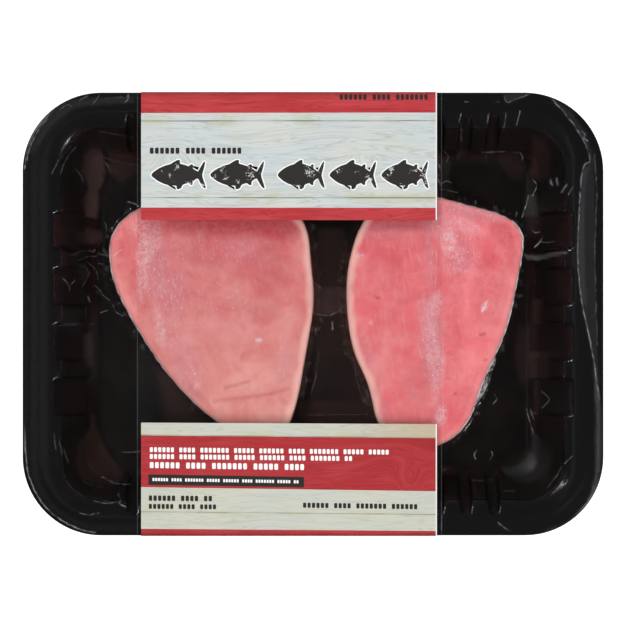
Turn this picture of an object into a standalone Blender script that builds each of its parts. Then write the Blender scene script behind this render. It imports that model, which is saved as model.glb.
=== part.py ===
"""A vacuum skin pack of two raw tuna steaks: black tray, two steaks, clear skin film and printed sleeve.

Metres, +Z up. The origin is the middle of the sleeve's underside, on which the pack lies. X runs along the
tray's long side, and +Y is the side at the top of the printed front.
"""

import math

import bmesh
import bpy
from mathutils import Vector
from mathutils.geometry import delaunay_2d_cdt

MM = 0.001
GAP = 0.3 * MM  # between neighbours that touch on the real pack

SLEEVE_WIDTH = 125.8 * MM
SLEEVE_CENTRE_X = -9.7 * MM
SLEEVE_THICKNESS = 0.35 * MM

TRAY_LENGTH = 240.0 * MM
TRAY_WIDTH = 182.4 * MM
TRAY_CORNER_RADIUS = 32.5 * MM
LEAST_RADIUS = 8.0 * MM  # of the well's corners at the floor
TRAY_WALL = 0.7 * MM
TRAY_DEPTH = 28.5 * MM  # from the top of the flange to the top of the floor
RIM_BAND = 6.4 * MM  # the outer strip of the flange, a little lower than the sealing strip
RIM_DROP = 0.6 * MM
RIM_STEP_RUN = 1.0 * MM
LIP_HEIGHT = 3.2 * MM
LIP_ROUNDING = 0.9 * MM
RIB_LINE = 16.0 * MM  # from the tray's edge to the ribs at the top of a short wall
LONG_RIB_LINE = 14.1 * MM  # the same on a long wall
SHOULDER_DROP = 1.5 * MM  # from the flange down to the ribs' top
SHOULDER_RUN = 1.2 * MM
WALL_SLOPE_RUN = 9.0 * MM  # how far the wall leans in between the ribs' top and its foot
FOOT_HEIGHT = 2.5 * MM
FOOT_RUN = 4.5 * MM  # from the wall's foot to the flat floor

SHORT_POCKETS = 4
SHORT_PITCH = 22.95 * MM
SHORT_POCKET_LENGTH = 16.5 * MM
SHORT_POCKET_DEPTH = 2.5 * MM
LONG_POCKETS = 14
LONG_PITCH = 11.5 * MM
LONG_POCKET_LENGTH = 6.0 * MM
LONG_POCKET_DEPTH = 4.5 * MM
POCKET_SIDE_RUN = 1.0 * MM  # the slope of a pocket's end, along the wall
POCKETS_AT_FOOT = 0.3  # how much of a pocket's depth is left at the wall's foot

STEAK_THICKNESS = 23.0 * MM
STEAK_POINTS = 44  # round one steak's outline
FILM_THICKNESS = 0.3 * MM
FILM_EDGE = 1.0 * MM  # from the tray's edge to the film's
FILM_OVER_CROWN = 0.5 * MM
CORNER_STEPS = 8
SIDE_STEPS = 6
CURVE_STEPS = 24

TRAY_BASE = SLEEVE_THICKNESS + GAP
FLOOR_TOP = TRAY_BASE + TRAY_WALL
FLANGE_TOP = FLOOR_TOP + TRAY_DEPTH
STEAK_BASE = FLOOR_TOP + GAP
FILM_ON_FLANGE = FLANGE_TOP + GAP
SLEEVE_INSIDE_TOP = FILM_ON_FLANGE + FILM_THICKNESS + GAP

# Where each steak's outline passes, in millimetres, anticlockwise, on a closed smooth curve.
LEFT_STEAK_OUTLINE = [
    (-4.0, 38.4), (-18.0, 47.0), (-42.0, 50.5), (-62.0, 47.6), (-78.2, 39.6), (-84.2, 29.0),
    (-82.2, 13.0), (-74.6, -2.6), (-61.5, -22.8), (-47.0, -38.6), (-30.0, -50.5), (-14.0, -52.0),
    (-7.4, -38.0), (-3.4, -17.5), (0.0, 4.0), (-1.0, 20.0),
]
RIGHT_STEAK_OUTLINE = [
    (86.9, 33.2), (78.6, 40.6), (64.0, 44.8), (49.0, 48.6), (33.0, 47.6), (21.6, 39.6),
    (15.2, 21.5), (14.2, 4.0), (16.8, -14.5), (23.2, -29.5), (27.8, -47.0), (38.0, -55.6),
    (52.0, -54.4), (63.4, -45.6), (70.6, -27.5), (79.6, -7.0), (84.6, 14.5),
]
# A steak's side from its underside up: height above the underside, and how far it stands inside the outline.
STEAK_SIDE = [(0.0, 2.4), (1.2, 1.0), (4.0, 0.25), (10.5, 0.0), (17.0, 0.35), (20.2, 1.2), (21.9, 2.8)]
# Its crowned top: height below the steak's full thickness, and the outline's scale about its middle.
STEAK_CROWN = [(0.5, 0.88), (0.0, 0.6)]
# The film down a steak's side: height above the underside, and how far it stands outside the outline.
FILM_SIDE = [(0.1, 1.8), (5.0, 0.9), (13.5, 0.4), (18.5, 0.1), (21.0, -0.8), (22.5, -2.5)]
# The film down the well's wall: how far in from the ribs' top, and height above the tray's floor.
FILM_WALL = [(-0.6, 28.8), (1.0, 27.0), (10.2, 3.2), (14.2, 0.4)]


def clear_scene():
    for thing in list(bpy.data.objects):
        bpy.data.objects.remove(thing, do_unlink=True)


def material(name, rgb, roughness, alpha=1.0):
    made = bpy.data.materials.new(name)
    made.use_nodes = True
    shader = made.node_tree.nodes["Principled BSDF"]
    shader.inputs["Base Color"].default_value = (*rgb, 1.0)
    shader.inputs["Roughness"].default_value = roughness
    shader.inputs["Metallic"].default_value = 0.0
    shader.inputs["Alpha"].default_value = alpha
    return made


def add_object(name, bm, its_material):
    mesh = bpy.data.meshes.new(name)
    bmesh.ops.recalc_face_normals(bm, faces=bm.faces[:])
    bm.to_mesh(mesh)
    bm.free()
    mesh.materials.append(its_material)
    mesh.shade_smooth()
    mesh.set_sharp_from_angle(angle=math.radians(35))
    made = bpy.data.objects.new(name, mesh)
    bpy.context.scene.collection.objects.link(made)
    return made


def stacked_loops(loops, cap_first=True, cap_last=True):
    """A mesh that runs through closed loops of points, each extruded from the one before it."""
    bm = bmesh.new()
    ring = [bm.verts.new(point) for point in loops[0]]
    edges = [bm.edges.new((ring[i - 1], ring[i])) for i in range(len(ring))]
    if cap_first:
        bm.faces.new(ring)
    for loop in loops[1:]:
        grown = bmesh.ops.extrude_edge_only(bm, edges=edges)["geom"]
        new_edges = [item for item in grown if isinstance(item, bmesh.types.BMEdge)]
        new_verts = {item for item in grown if isinstance(item, bmesh.types.BMVert)}
        next_ring = []
        for vert in ring:
            twin = next(e.other_vert(vert) for e in vert.link_edges if e.other_vert(vert) in new_verts)
            next_ring.append(twin)
        for vert, point in zip(next_ring, loop):
            vert.co = point
        ring = next_ring
        edges = [edge for edge in new_edges if all(vert in new_verts for vert in edge.verts)]
    if cap_last:
        bm.faces.new(ring)
    return bm


# ---- Tray ----


def pocket_places(count, pitch, length):
    """Places along a wall where the pockets' ends start and stop, each with 1 in a pocket and 0 on a rib."""
    places = []
    for index in range(count):
        middle = (index - (count - 1) / 2) * pitch
        half = length / 2
        places += [(middle - half, 0.0), (middle - half + POCKET_SIDE_RUN, 1.0)]
        places += [(middle + half - POCKET_SIDE_RUN, 1.0), (middle + half, 0.0)]
    return places


def tray_loop(half_x, half_y, radius, height, pockets=0.0):
    """One level of the tray: a rounded rectangle whose sides step out into the pockets."""
    short_side = pocket_places(SHORT_POCKETS, SHORT_PITCH, SHORT_POCKET_LENGTH)
    long_side = pocket_places(LONG_POCKETS, LONG_PITCH, LONG_POCKET_LENGTH)
    points = []
    for quarter in range(4):
        turned = quarter in (2, 3)
        sign = -1 if turned else 1
        if quarter % 2 == 0:
            for along, inside in short_side:
                points.append((sign * (half_x + pockets * inside * SHORT_POCKET_DEPTH), sign * along))
        else:
            for along, inside in long_side:
                points.append((-sign * along, sign * (half_y + pockets * inside * LONG_POCKET_DEPTH)))
        centre_x = (half_x - radius) * (1 if quarter in (0, 3) else -1)
        centre_y = (half_y - radius) * (1 if quarter in (0, 1) else -1)
        for step in range(CORNER_STEPS + 1):
            angle = math.radians(90) * (quarter + step / CORNER_STEPS)
            points.append((centre_x + radius * math.cos(angle), centre_y + radius * math.sin(angle)))
    return [Vector((x, y, height)) for x, y in points]


def inset_loop(inset, height, long_inset=None, pockets=0.0):
    """A level of the tray by its distance in from the tray's edge."""
    long_inset = inset if long_inset is None else long_inset
    radius = max(TRAY_CORNER_RADIUS - inset, LEAST_RADIUS)
    return tray_loop(TRAY_LENGTH / 2 - inset, TRAY_WIDTH / 2 - long_inset, radius, height, pockets)


def make_tray():
    wall = TRAY_WALL
    foot = RIB_LINE + WALL_SLOPE_RUN
    long_foot = LONG_RIB_LINE + WALL_SLOPE_RUN
    rim_top = FLANGE_TOP - RIM_DROP
    lip_foot = rim_top - LIP_HEIGHT
    shoulder = FLANGE_TOP - SHOULDER_DROP
    flange_edge = RIB_LINE - SHORT_POCKET_DEPTH - SHOULDER_RUN
    long_flange_edge = LONG_RIB_LINE - LONG_POCKET_DEPTH - SHOULDER_RUN
    rim_edge = RIM_BAND - RIM_STEP_RUN
    loops = [
        inset_loop(foot + FOOT_RUN, TRAY_BASE, long_foot + FOOT_RUN),
        inset_loop(foot - wall, TRAY_BASE + FOOT_HEIGHT, long_foot - wall, POCKETS_AT_FOOT),
        inset_loop(RIB_LINE - wall, shoulder - wall, LONG_RIB_LINE - wall, 1.0),
        inset_loop(flange_edge - wall, FLANGE_TOP - wall, long_flange_edge - wall),
        inset_loop(RIM_BAND, FLANGE_TOP - wall),
        inset_loop(rim_edge, rim_top - wall),
        inset_loop(wall, rim_top - wall),
        inset_loop(wall, lip_foot),
        inset_loop(0.0, lip_foot),
        inset_loop(0.0, rim_top - LIP_ROUNDING),
        inset_loop(LIP_ROUNDING, rim_top),
        inset_loop(rim_edge, rim_top),
        inset_loop(RIM_BAND, FLANGE_TOP),
        inset_loop(flange_edge, FLANGE_TOP, long_flange_edge),
        inset_loop(RIB_LINE, shoulder, LONG_RIB_LINE, 1.0),
        inset_loop(foot, FLOOR_TOP + FOOT_HEIGHT, long_foot, POCKETS_AT_FOOT),
        inset_loop(foot + FOOT_RUN, FLOOR_TOP, long_foot + FOOT_RUN),
    ]
    black_plastic = material("black_tray_plastic", (0.011, 0.011, 0.012), 0.22)
    return add_object("tray", stacked_loops(loops), black_plastic)


# ---- Steaks ----


def smooth_outline(corners, count):
    """Evenly spaced points on a closed Catmull-Rom curve through the corners given in millimetres."""
    fine = []
    size = len(corners)
    for index in range(size):
        p0, p1, p2, p3 = (Vector(corners[(index + k) % size]) * MM for k in (-1, 0, 1, 2))
        for step in range(CURVE_STEPS):
            t = step / CURVE_STEPS
            blend = 2 * p1 + (p2 - p0) * t + (2 * p0 - 5 * p1 + 4 * p2 - p3) * t**2
            fine.append((blend + (3 * p1 - p0 - 3 * p2 + p3) * t**3) / 2)
    lengths = [0.0]
    for index in range(len(fine)):
        lengths.append(lengths[-1] + (fine[(index + 1) % len(fine)] - fine[index]).length)
    points = []
    at = 0
    for index in range(count):
        wanted = lengths[-1] * index / count
        while lengths[at + 1] < wanted:
            at += 1
        part = (wanted - lengths[at]) / (lengths[at + 1] - lengths[at])
        points.append(fine[at].lerp(fine[(at + 1) % len(fine)], part))
    return points


def outward(outline):
    """Unit directions out of an anticlockwise outline, one for each point."""
    found = []
    for index in range(len(outline)):
        along = outline[(index + 1) % len(outline)] - outline[index - 1]
        found.append(Vector((along.y, -along.x)).normalized())
    return found


def offset_outline(outline, distance, height):
    return [(p + n * distance).to_3d() + Vector((0, 0, height)) for p, n in zip(outline, outward(outline))]


def scaled_outline(outline, scale, height):
    middle = sum(outline, Vector((0, 0))) / len(outline)
    return [(middle + (p - middle) * scale).to_3d() + Vector((0, 0, height)) for p in outline]


def make_steak(name, corners):
    outline = smooth_outline(corners, STEAK_POINTS)
    loops = [offset_outline(outline, -inside * MM, STEAK_BASE + up * MM) for up, inside in STEAK_SIDE]
    top = STEAK_BASE + STEAK_THICKNESS
    loops += [scaled_outline(outline, scale, top - down * MM) for down, scale in STEAK_CROWN]
    flesh = material(name + "_flesh", (0.70, 0.20, 0.19), 0.35)
    return add_object(name, stacked_loops(loops), flesh)


# ---- Skin film ----


def film_loops():
    """Closed loops that the film passes through, from its edge inwards and then up over each steak."""
    loops = [plain_loop(FILM_EDGE, FILM_EDGE, FILM_ON_FLANGE)]
    for run, up in FILM_WALL:
        loops.append(plain_loop(RIB_LINE + run * MM, LONG_RIB_LINE + run * MM, FLOOR_TOP + up * MM))
    for corners in (LEFT_STEAK_OUTLINE, RIGHT_STEAK_OUTLINE):
        outline = smooth_outline(corners, STEAK_POINTS)
        loops += [offset_outline(outline, out * MM, STEAK_BASE + up * MM) for up, out in FILM_SIDE]
        top = STEAK_BASE + STEAK_THICKNESS + FILM_OVER_CROWN
        loops += [scaled_outline(outline, scale, top - down * MM) for down, scale in STEAK_CROWN]
    return loops


def plain_loop(inset, long_inset, height):
    """A rounded rectangle inside the tray's edge, anticlockwise, with points along its straight sides."""
    half_x = TRAY_LENGTH / 2 - inset
    half_y = TRAY_WIDTH / 2 - long_inset
    radius = max(TRAY_CORNER_RADIUS - inset, LEAST_RADIUS)
    points = []
    for quarter in range(4):
        centre = Vector((half_x - radius, half_y - radius))
        centre.x *= 1 if quarter in (0, 3) else -1
        centre.y *= 1 if quarter in (0, 1) else -1
        for step in range(CORNER_STEPS + 1):
            angle = math.radians(90) * (quarter + step / CORNER_STEPS)
            points.append(centre + radius * Vector((math.cos(angle), math.sin(angle))))
        straight = 2 * (half_x - radius) if quarter % 2 == 0 else 2 * (half_y - radius)
        along = Vector((-1, 0)) if quarter == 0 else Vector((0, -1))
        if quarter >= 2:
            along = Vector((1, 0)) if quarter == 2 else Vector((0, 1))
        last = points[-1]
        points += [last + along * straight * step / SIDE_STEPS for step in range(1, SIDE_STEPS)]
    return [point.to_3d() + Vector((0, 0, height)) for point in points]


def make_skin_film():
    places, heights, edges = [], [], []
    for loop in film_loops():
        first = len(places)
        places += [point.to_2d() for point in loop]
        heights += [point.z for point in loop]
        edges += [(first + i, first + (i + 1) % len(loop)) for i in range(len(loop))]
    flat_points, _, triangles, origins, _, _ = delaunay_2d_cdt(places, edges, [], 0, 1e-7)
    bm = bmesh.new()
    verts = [bm.verts.new((*point, heights[source[0]])) for point, source in zip(flat_points, origins)]
    for corners in triangles:
        bm.faces.new([verts[index] for index in corners])
    bmesh.ops.recalc_face_normals(bm, faces=bm.faces[:])
    if sum(face.normal.z for face in bm.faces) < 0:
        bmesh.ops.reverse_faces(bm, faces=bm.faces[:])
    bm.normal_update()
    bmesh.ops.solidify(bm, geom=bm.faces[:], thickness=-FILM_THICKNESS)
    clear_film = material("clear_skin_film", (0.85, 0.85, 0.85), 0.08, alpha=0.25)
    return add_object("skin_film", bm, clear_film)


# ---- Sleeve ----


def sleeve_profile(out):
    """The band's section in Y and Z, pushed out by a distance from its inner face.

    It runs from the tray's base round its foot, up past the lip and onto the top, with small rounded bends.
    """
    half_top = TRAY_WIDTH / 2 + GAP
    half_base = TRAY_WIDTH / 2 - LONG_RIB_LINE - WALL_SLOPE_RUN + 1.5 * MM
    top = SLEEVE_INSIDE_TOP
    lip = FLANGE_TOP - RIM_DROP - LIP_HEIGHT - GAP
    half = [
        (half_base, TRAY_BASE - GAP - out),
        (half_base + 2.0 * MM + 0.9 * out, TRAY_BASE + 0.3 * MM - 0.6 * out),
        (half_top + out, lip),
        (half_top + out, top - 1.4 * MM),
        (half_top - 0.4 * MM + 0.75 * out, top - 0.35 * MM + 0.75 * out),
        (half_top - 1.4 * MM, top + out),
    ]
    return half + [(-y, z) for y, z in reversed(half)]


def make_sleeve():
    low_x = SLEEVE_CENTRE_X - SLEEVE_WIDTH / 2
    high_x = SLEEVE_CENTRE_X + SLEEVE_WIDTH / 2
    inner = sleeve_profile(0.0)
    outer = sleeve_profile(SLEEVE_THICKNESS)
    loops = [
        [Vector((low_x, y, z)) for y, z in inner],
        [Vector((low_x, y, z)) for y, z in outer],
        [Vector((high_x, y, z)) for y, z in outer],
        [Vector((high_x, y, z)) for y, z in inner],
        [Vector((low_x, y, z)) for y, z in inner],
    ]
    bm = stacked_loops(loops, cap_first=False, cap_last=False)
    bmesh.ops.remove_doubles(bm, verts=bm.verts[:], dist=1e-7)
    printed_film = material("printed_sleeve_film", (0.65, 0.62, 0.60), 0.3)
    return add_object("sleeve", bm, printed_film)


def main():
    clear_scene()
    make_tray()
    make_steak("steak_left", LEFT_STEAK_OUTLINE)
    make_steak("steak_right", RIGHT_STEAK_OUTLINE)
    make_skin_film()
    make_sleeve()


main()
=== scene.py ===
# %% [markdown]
# # A vacuum skin pack of raw tuna steaks
# The pack is a black tray, two steaks, a clear film that clings to both, and a printed sleeve round the
# middle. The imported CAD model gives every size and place. This script keeps that model as a fixed frame and
# makes each piece again with the surface that the real one has. Lengths are metres, and `MM` turns the
# millimetres that a packer would use into metres. X runs along the tray, Y to the top of the print, Z up.

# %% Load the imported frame
import math

import bmesh
import bpy
import numpy as np
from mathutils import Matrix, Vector, noise
from mathutils.bvhtree import BVHTree
from mathutils.geometry import delaunay_2d_cdt


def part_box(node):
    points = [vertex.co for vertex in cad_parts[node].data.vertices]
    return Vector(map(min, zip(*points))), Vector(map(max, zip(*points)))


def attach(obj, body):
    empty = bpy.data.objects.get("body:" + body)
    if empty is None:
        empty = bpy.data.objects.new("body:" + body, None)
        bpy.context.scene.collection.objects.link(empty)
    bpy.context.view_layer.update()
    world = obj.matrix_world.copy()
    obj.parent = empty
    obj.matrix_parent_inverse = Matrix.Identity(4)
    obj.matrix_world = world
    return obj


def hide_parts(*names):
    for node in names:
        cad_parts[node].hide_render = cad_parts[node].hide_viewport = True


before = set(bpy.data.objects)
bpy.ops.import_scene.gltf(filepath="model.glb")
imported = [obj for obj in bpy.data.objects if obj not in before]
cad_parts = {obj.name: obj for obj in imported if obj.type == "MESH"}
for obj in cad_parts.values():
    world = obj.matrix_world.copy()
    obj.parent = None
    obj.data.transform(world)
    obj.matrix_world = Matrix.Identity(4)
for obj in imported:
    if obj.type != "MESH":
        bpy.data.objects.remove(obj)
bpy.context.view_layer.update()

MM = 0.001
tray_low, tray_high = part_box("tray")
sleeve_low, sleeve_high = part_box("sleeve")
print("tray, mm:", [round(size / MM, 1) for size in tray_high - tray_low])

# %% [markdown]
# ## Small tools
# Colours are written as sRGB hex, as a paint chart gives them, and one function turns them linear. One
# function adds a shader node with its settings and links, and one turns a finished bmesh into a piece that
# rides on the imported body. They keep each later cell short.

# %% Colours, nodes and pieces


def linear(hex_colour):
    """The linear RGBA of an sRGB hex colour."""
    parts = [int(hex_colour[place:place + 2], 16) / 255 for place in (1, 3, 5)]
    return (*[p / 12.92 if p <= 0.04045 else ((p + 0.055) / 1.055) ** 2.4 for p in parts], 1.0)


def add_node(tree, kind, settings=None, links=None):
    """A node with its properties and sockets set, and its sockets linked to other nodes' outputs."""
    node = tree.nodes.new(kind)
    for key, value in (settings or {}).items():
        if key == "stops":
            while len(node.color_ramp.elements) < len(value):
                node.color_ramp.elements.new(1.0)
            for stop, (place, colour) in zip(node.color_ramp.elements, value):
                stop.position = place
                stop.color = linear(colour) if isinstance(colour, str) else (colour, colour, colour, 1.0)
        elif isinstance(key, str) and key in node.bl_rna.properties:
            setattr(node, key, value)
        else:
            node.inputs[key].default_value = value
    for key, output in (links or {}).items():
        tree.links.new(output, node.inputs[key])
    return node


def start_material(name):
    made = bpy.data.materials.new(name)
    made.use_nodes = True
    made.node_tree.nodes.clear()
    return made, made.node_tree


def finish_piece(name, bm, materials, slot, *nodes):
    """The bmesh as a smooth piece at the origin that rides on the pack, and stands for CAD nodes if any."""
    mesh = bpy.data.meshes.new(name)
    bm.to_mesh(mesh)
    bm.free()
    for its_material in materials:
        mesh.materials.append(its_material)
    mesh.shade_smooth()
    piece = bpy.data.objects.new(name, mesh)
    bpy.context.scene.collection.objects.link(piece)
    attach(piece, "root")
    if nodes:
        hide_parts(*nodes)
    print(name, "has", sum(len(face.vertices) - 2 for face in mesh.polygons), "triangles")
    return piece


MIX_A, MIX_B, MIX_OUT = 6, 7, 2  # the colour sockets of a Mix node

# %% [markdown]
# ## Camera, floor and light
# The pack lies flat and is seen from straight above, so the camera looks down from far off with a long
# lens, which keeps the sides out of sight. Glossy black plastic shows every lamp that it mirrors, so the two
# softboxes that do the lighting are crossed out with polarising film: they light the colours and leave no
# glare. Two small bare ones at opposite corners draw the folds, and a weak card on the left lifts the rim.

# %% Camera
VIEW_WIDTH = 259.0 * MM  # across the picture, at the level of the sleeve
CAMERA_HEIGHT = 1.4
SENSOR_WIDTH = 36.0
camera = bpy.data.objects.new("camera", bpy.data.cameras.new("camera"))
camera.data.sensor_width = SENSOR_WIDTH
camera.data.lens = SENSOR_WIDTH * (CAMERA_HEIGHT - sleeve_high.z) / VIEW_WIDTH
camera.data.clip_end = 20.0
camera.location = (0.41 * MM, 0.0, CAMERA_HEIGHT)
bpy.context.scene.collection.objects.link(camera)
bpy.context.scene.camera = camera
bpy.context.scene.view_settings.view_transform = "Standard"
print("lens, mm:", round(camera.data.lens, 1))

# %% Floor
FLOOR_SIZE = 8.0
floor_paint, tree = start_material("matt_white_table")
paint = add_node(tree, "ShaderNodeBsdfPrincipled", {
    "Base Color": linear("#c8c8c8"), "Roughness": 0.7, "Specular IOR Level": 0.2,
    "Emission Color": linear("#ffffff"), "Emission Strength": 0.95,
})
add_node(tree, "ShaderNodeOutputMaterial", links={"Surface": paint.outputs[0]})
bm = bmesh.new()
bmesh.ops.create_grid(bm, x_segments=1, y_segments=1, size=FLOOR_SIZE / 2)
floor_mesh = bpy.data.meshes.new("floor")
bm.to_mesh(floor_mesh)
bm.free()
floor_mesh.materials.append(floor_paint)
floor = bpy.data.objects.new("floor", floor_mesh)
floor.location.z = -0.2 * MM
bpy.context.scene.collection.objects.link(floor)

# %% Light
LAMP_DISTANCE = 1.3


def softbox(name, azimuth, elevation, size, power, glare=True):
    """A square lamp that faces the pack. Azimuth 0 is at +X and 90 at +Y, in degrees."""
    lamp = bpy.data.lights.new(name, "AREA")
    lamp.size = size
    lamp.energy = power
    made = bpy.data.objects.new(name, lamp)
    a, e = math.radians(azimuth), math.radians(elevation)
    place = Vector((math.cos(a) * math.cos(e), math.sin(a) * math.cos(e), math.sin(e)))
    made.location = place * LAMP_DISTANCE
    made.visible_glossy = glare
    made.rotation_euler = place.to_track_quat("Z", "Y").to_euler()
    bpy.context.scene.collection.objects.link(made)


softbox("main_softbox", 92, 47, 1.1, 6.4, glare=False)
softbox("top_softbox", -90, 78, 0.9, 14.3, glare=False)
softbox("upper_left_softbox", 145, 42, 0.2, 1.6)
softbox("lower_right_softbox", -35, 42, 0.2, 1.6)
softbox("left_card", 180, 74, 0.4, 0.055)
room = bpy.data.worlds.new("dim_studio")
bpy.context.scene.world = room
room.use_nodes = True
room.node_tree.nodes["Background"].inputs["Color"].default_value = linear("#ffffff")
room.node_tree.nodes["Background"].inputs["Strength"].default_value = 0.028

# %% [markdown]
# ## Tray
# The real tray is one sheet of black plastic drawn down into a mould: a rolled edge, a low rim, a flat strip
# that the film is sealed to, and walls with flutes that stiffen them. One sheet is best made as one run of
# loops, each extruded from the last, from the middle of the underside out to the edge and back in over the
# top. A loop is a rounded rectangle that steps out into the flutes, and the section's corners are rounded,
# because a drawn sheet has no sharp ones and its roundings are what catches the light.

# %% Tray sizes
HALF_LENGTH = tray_high.x
HALF_WIDTH = tray_high.y + 0.3 * MM
FLANGE_TOP = tray_high.z
TRAY_BASE = tray_low.z
CORNER_RADIUS = 32.5 * MM
LEAST_RADIUS = 8.0 * MM
WALL = 0.7 * MM
FLOOR_TOP = TRAY_BASE + WALL
RIM_DROP = 0.4 * MM
LIP_HEIGHT = 3.2 * MM
SHOULDER_DROP = 1.5 * MM
FOOT_HEIGHT = 2.5 * MM
FLUTE_DEPTHS = (2.5 * MM, 4.5 * MM)  # on a short wall and on a long one
FLUTES = ((4, 22.95 * MM, 16.5 * MM), (14, 11.5 * MM, 6.0 * MM))  # count, pitch and length on each
FLUTE_END = [(0.0, 0.0), (0.35, 0.06), (0.7, 0.3), (1.0, 0.6), (1.3, 0.88), (1.7, 1.0)]  # mm along, depth
CORNER_STEPS = 20


# %% Loops round the tray


def flute_places(count, pitch, length):
    """Places along a wall, each with how deep the flute is there, from 0 on a rib to 1."""
    places = []
    for index in range(count):
        middle = (index - (count - 1) / 2) * pitch
        places += [(middle - length / 2 + run * MM, depth) for run, depth in FLUTE_END]
        places += [(middle + length / 2 - run * MM, depth) for run, depth in reversed(FLUTE_END)]
    return places


def tray_loop(level):
    """One anticlockwise loop at a level: how far in from each wall's edge, height, and share of the flutes."""
    inset, long_inset, height, share = level
    radius = max(CORNER_RADIUS - inset, LEAST_RADIUS)
    half_x, half_y = HALF_LENGTH - inset, HALF_WIDTH - long_inset
    points = []
    for quarter in range(4):
        sign = -1 if quarter in (2, 3) else 1
        for along, depth in flute_places(*FLUTES[quarter % 2]):
            out = share * depth * FLUTE_DEPTHS[quarter % 2]
            if quarter % 2 == 0:
                points.append(Vector((sign * (half_x + out), sign * along, height)))
            else:
                points.append(Vector((-sign * along, sign * (half_y + out), height)))
        centre_x = (half_x - radius) * (1 if quarter in (0, 3) else -1)
        centre_y = (half_y - radius) * (1 if quarter in (0, 1) else -1)
        for step in range(CORNER_STEPS + 1):
            turn = math.radians(90) * (quarter + step / CORNER_STEPS)
            points.append(Vector((centre_x + radius * math.cos(turn), centre_y + radius * math.sin(turn), height)))
    return points


def rounded_path(corners, steps=4):
    """A path through levels whose inner corners are rounded off. A corner's last number is its cut, in mm."""
    path = [Vector(corners[0][:4])]
    for before, corner, after in zip(corners, corners[1:], corners[2:]):
        middle = Vector(corner[:4])
        ends = []
        for other in (before, after):
            run = Vector(other[:4]) - middle
            reach = math.hypot(run[0], run[2])
            ends.append(middle + run * min(0.45, corner[4] * MM / reach))
        for step in range(steps + 1):
            t = step / steps
            path.append(ends[0] * (1 - t) ** 2 + middle * 2 * t * (1 - t) + ends[1] * t**2)
    return path + [Vector(corners[-1][:4])]


def lofted(loops, cap_first=True, cap_last=True):
    """A surface through closed loops: a circle drawn onto the first, then extruded onto each of the rest."""
    bm = bmesh.new()
    ring = bmesh.ops.create_circle(bm, segments=len(loops[0]), radius=1.0)["verts"]
    for vert, point in zip(ring, loops[0]):
        vert.co = point
    edges = bm.edges[:]
    if cap_first:
        bm.faces.new(ring)
    for loop in loops[1:]:
        grown = bmesh.ops.extrude_edge_only(bm, edges=edges)["geom"]
        new_verts = {item for item in grown if isinstance(item, bmesh.types.BMVert)}
        edges = [item for item in grown if isinstance(item, bmesh.types.BMEdge)]
        edges = [edge for edge in edges if all(vert in new_verts for vert in edge.verts)]
        twins = []
        for vert in ring:
            twins.append(next(e.other_vert(vert) for e in vert.link_edges if e.other_vert(vert) in new_verts))
        for vert, point in zip(twins, loop):
            vert.co = point
        ring = twins
    if cap_last:
        bm.faces.new(ring)
    bmesh.ops.recalc_face_normals(bm, faces=bm.faces[:])
    return bm


# %% Tray section, from the edge in over the top, and back out below
rim_top = FLANGE_TOP - RIM_DROP
rib_top = FLANGE_TOP - SHOULDER_DROP
foot = FLOOR_TOP + FOOT_HEIGHT
TOP_SIDE = [
    (0.0, 0.0, rim_top - LIP_HEIGHT, 0.0, 0.0),
    (0.0, 0.0, rim_top - 0.3 * MM, 0.0, 0.5),
    (1.2 * MM, 1.2 * MM, rim_top + 0.15 * MM, 0.0, 0.6),
    (2.6 * MM, 2.6 * MM, rim_top, 0.0, 0.6),
    (5.2 * MM, 5.2 * MM, rim_top - 0.05 * MM, 0.0, 1.2),
    (8.0 * MM, 7.0 * MM, FLANGE_TOP, 0.0, 1.2),
    (12.3 * MM, 8.4 * MM, FLANGE_TOP, 0.0, 1.3),
    (16.0 * MM, 14.1 * MM, rib_top, 1.0, 1.6),
    (25.0 * MM, 23.1 * MM, foot, 0.3, 2.2),
    (29.5 * MM, 27.6 * MM, FLOOR_TOP, 0.0, 2.2),
    (32.0 * MM, 30.1 * MM, FLOOR_TOP, 0.0, 0.0),
]
UNDERSIDE = [
    (29.5 * MM, 27.6 * MM, TRAY_BASE, 0.0),
    (24.3 * MM, 22.4 * MM, foot - WALL, 0.3),
    (15.3 * MM, 13.4 * MM, rib_top - WALL, 1.0),
    (11.6 * MM, 7.7 * MM, FLANGE_TOP - WALL, 0.0),
    (6.4 * MM, 6.4 * MM, FLANGE_TOP - WALL, 0.0),
    (5.4 * MM, 5.4 * MM, rim_top - WALL, 0.0),
    (WALL, WALL, rim_top - WALL, 0.0),
    (WALL, WALL, rim_top - LIP_HEIGHT, 0.0),
]
top_levels = rounded_path(TOP_SIDE)
tray_bm = lofted([tray_loop(level) for level in UNDERSIDE + top_levels])
print("loops in the tray:", len(UNDERSIDE) + len(top_levels))
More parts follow.
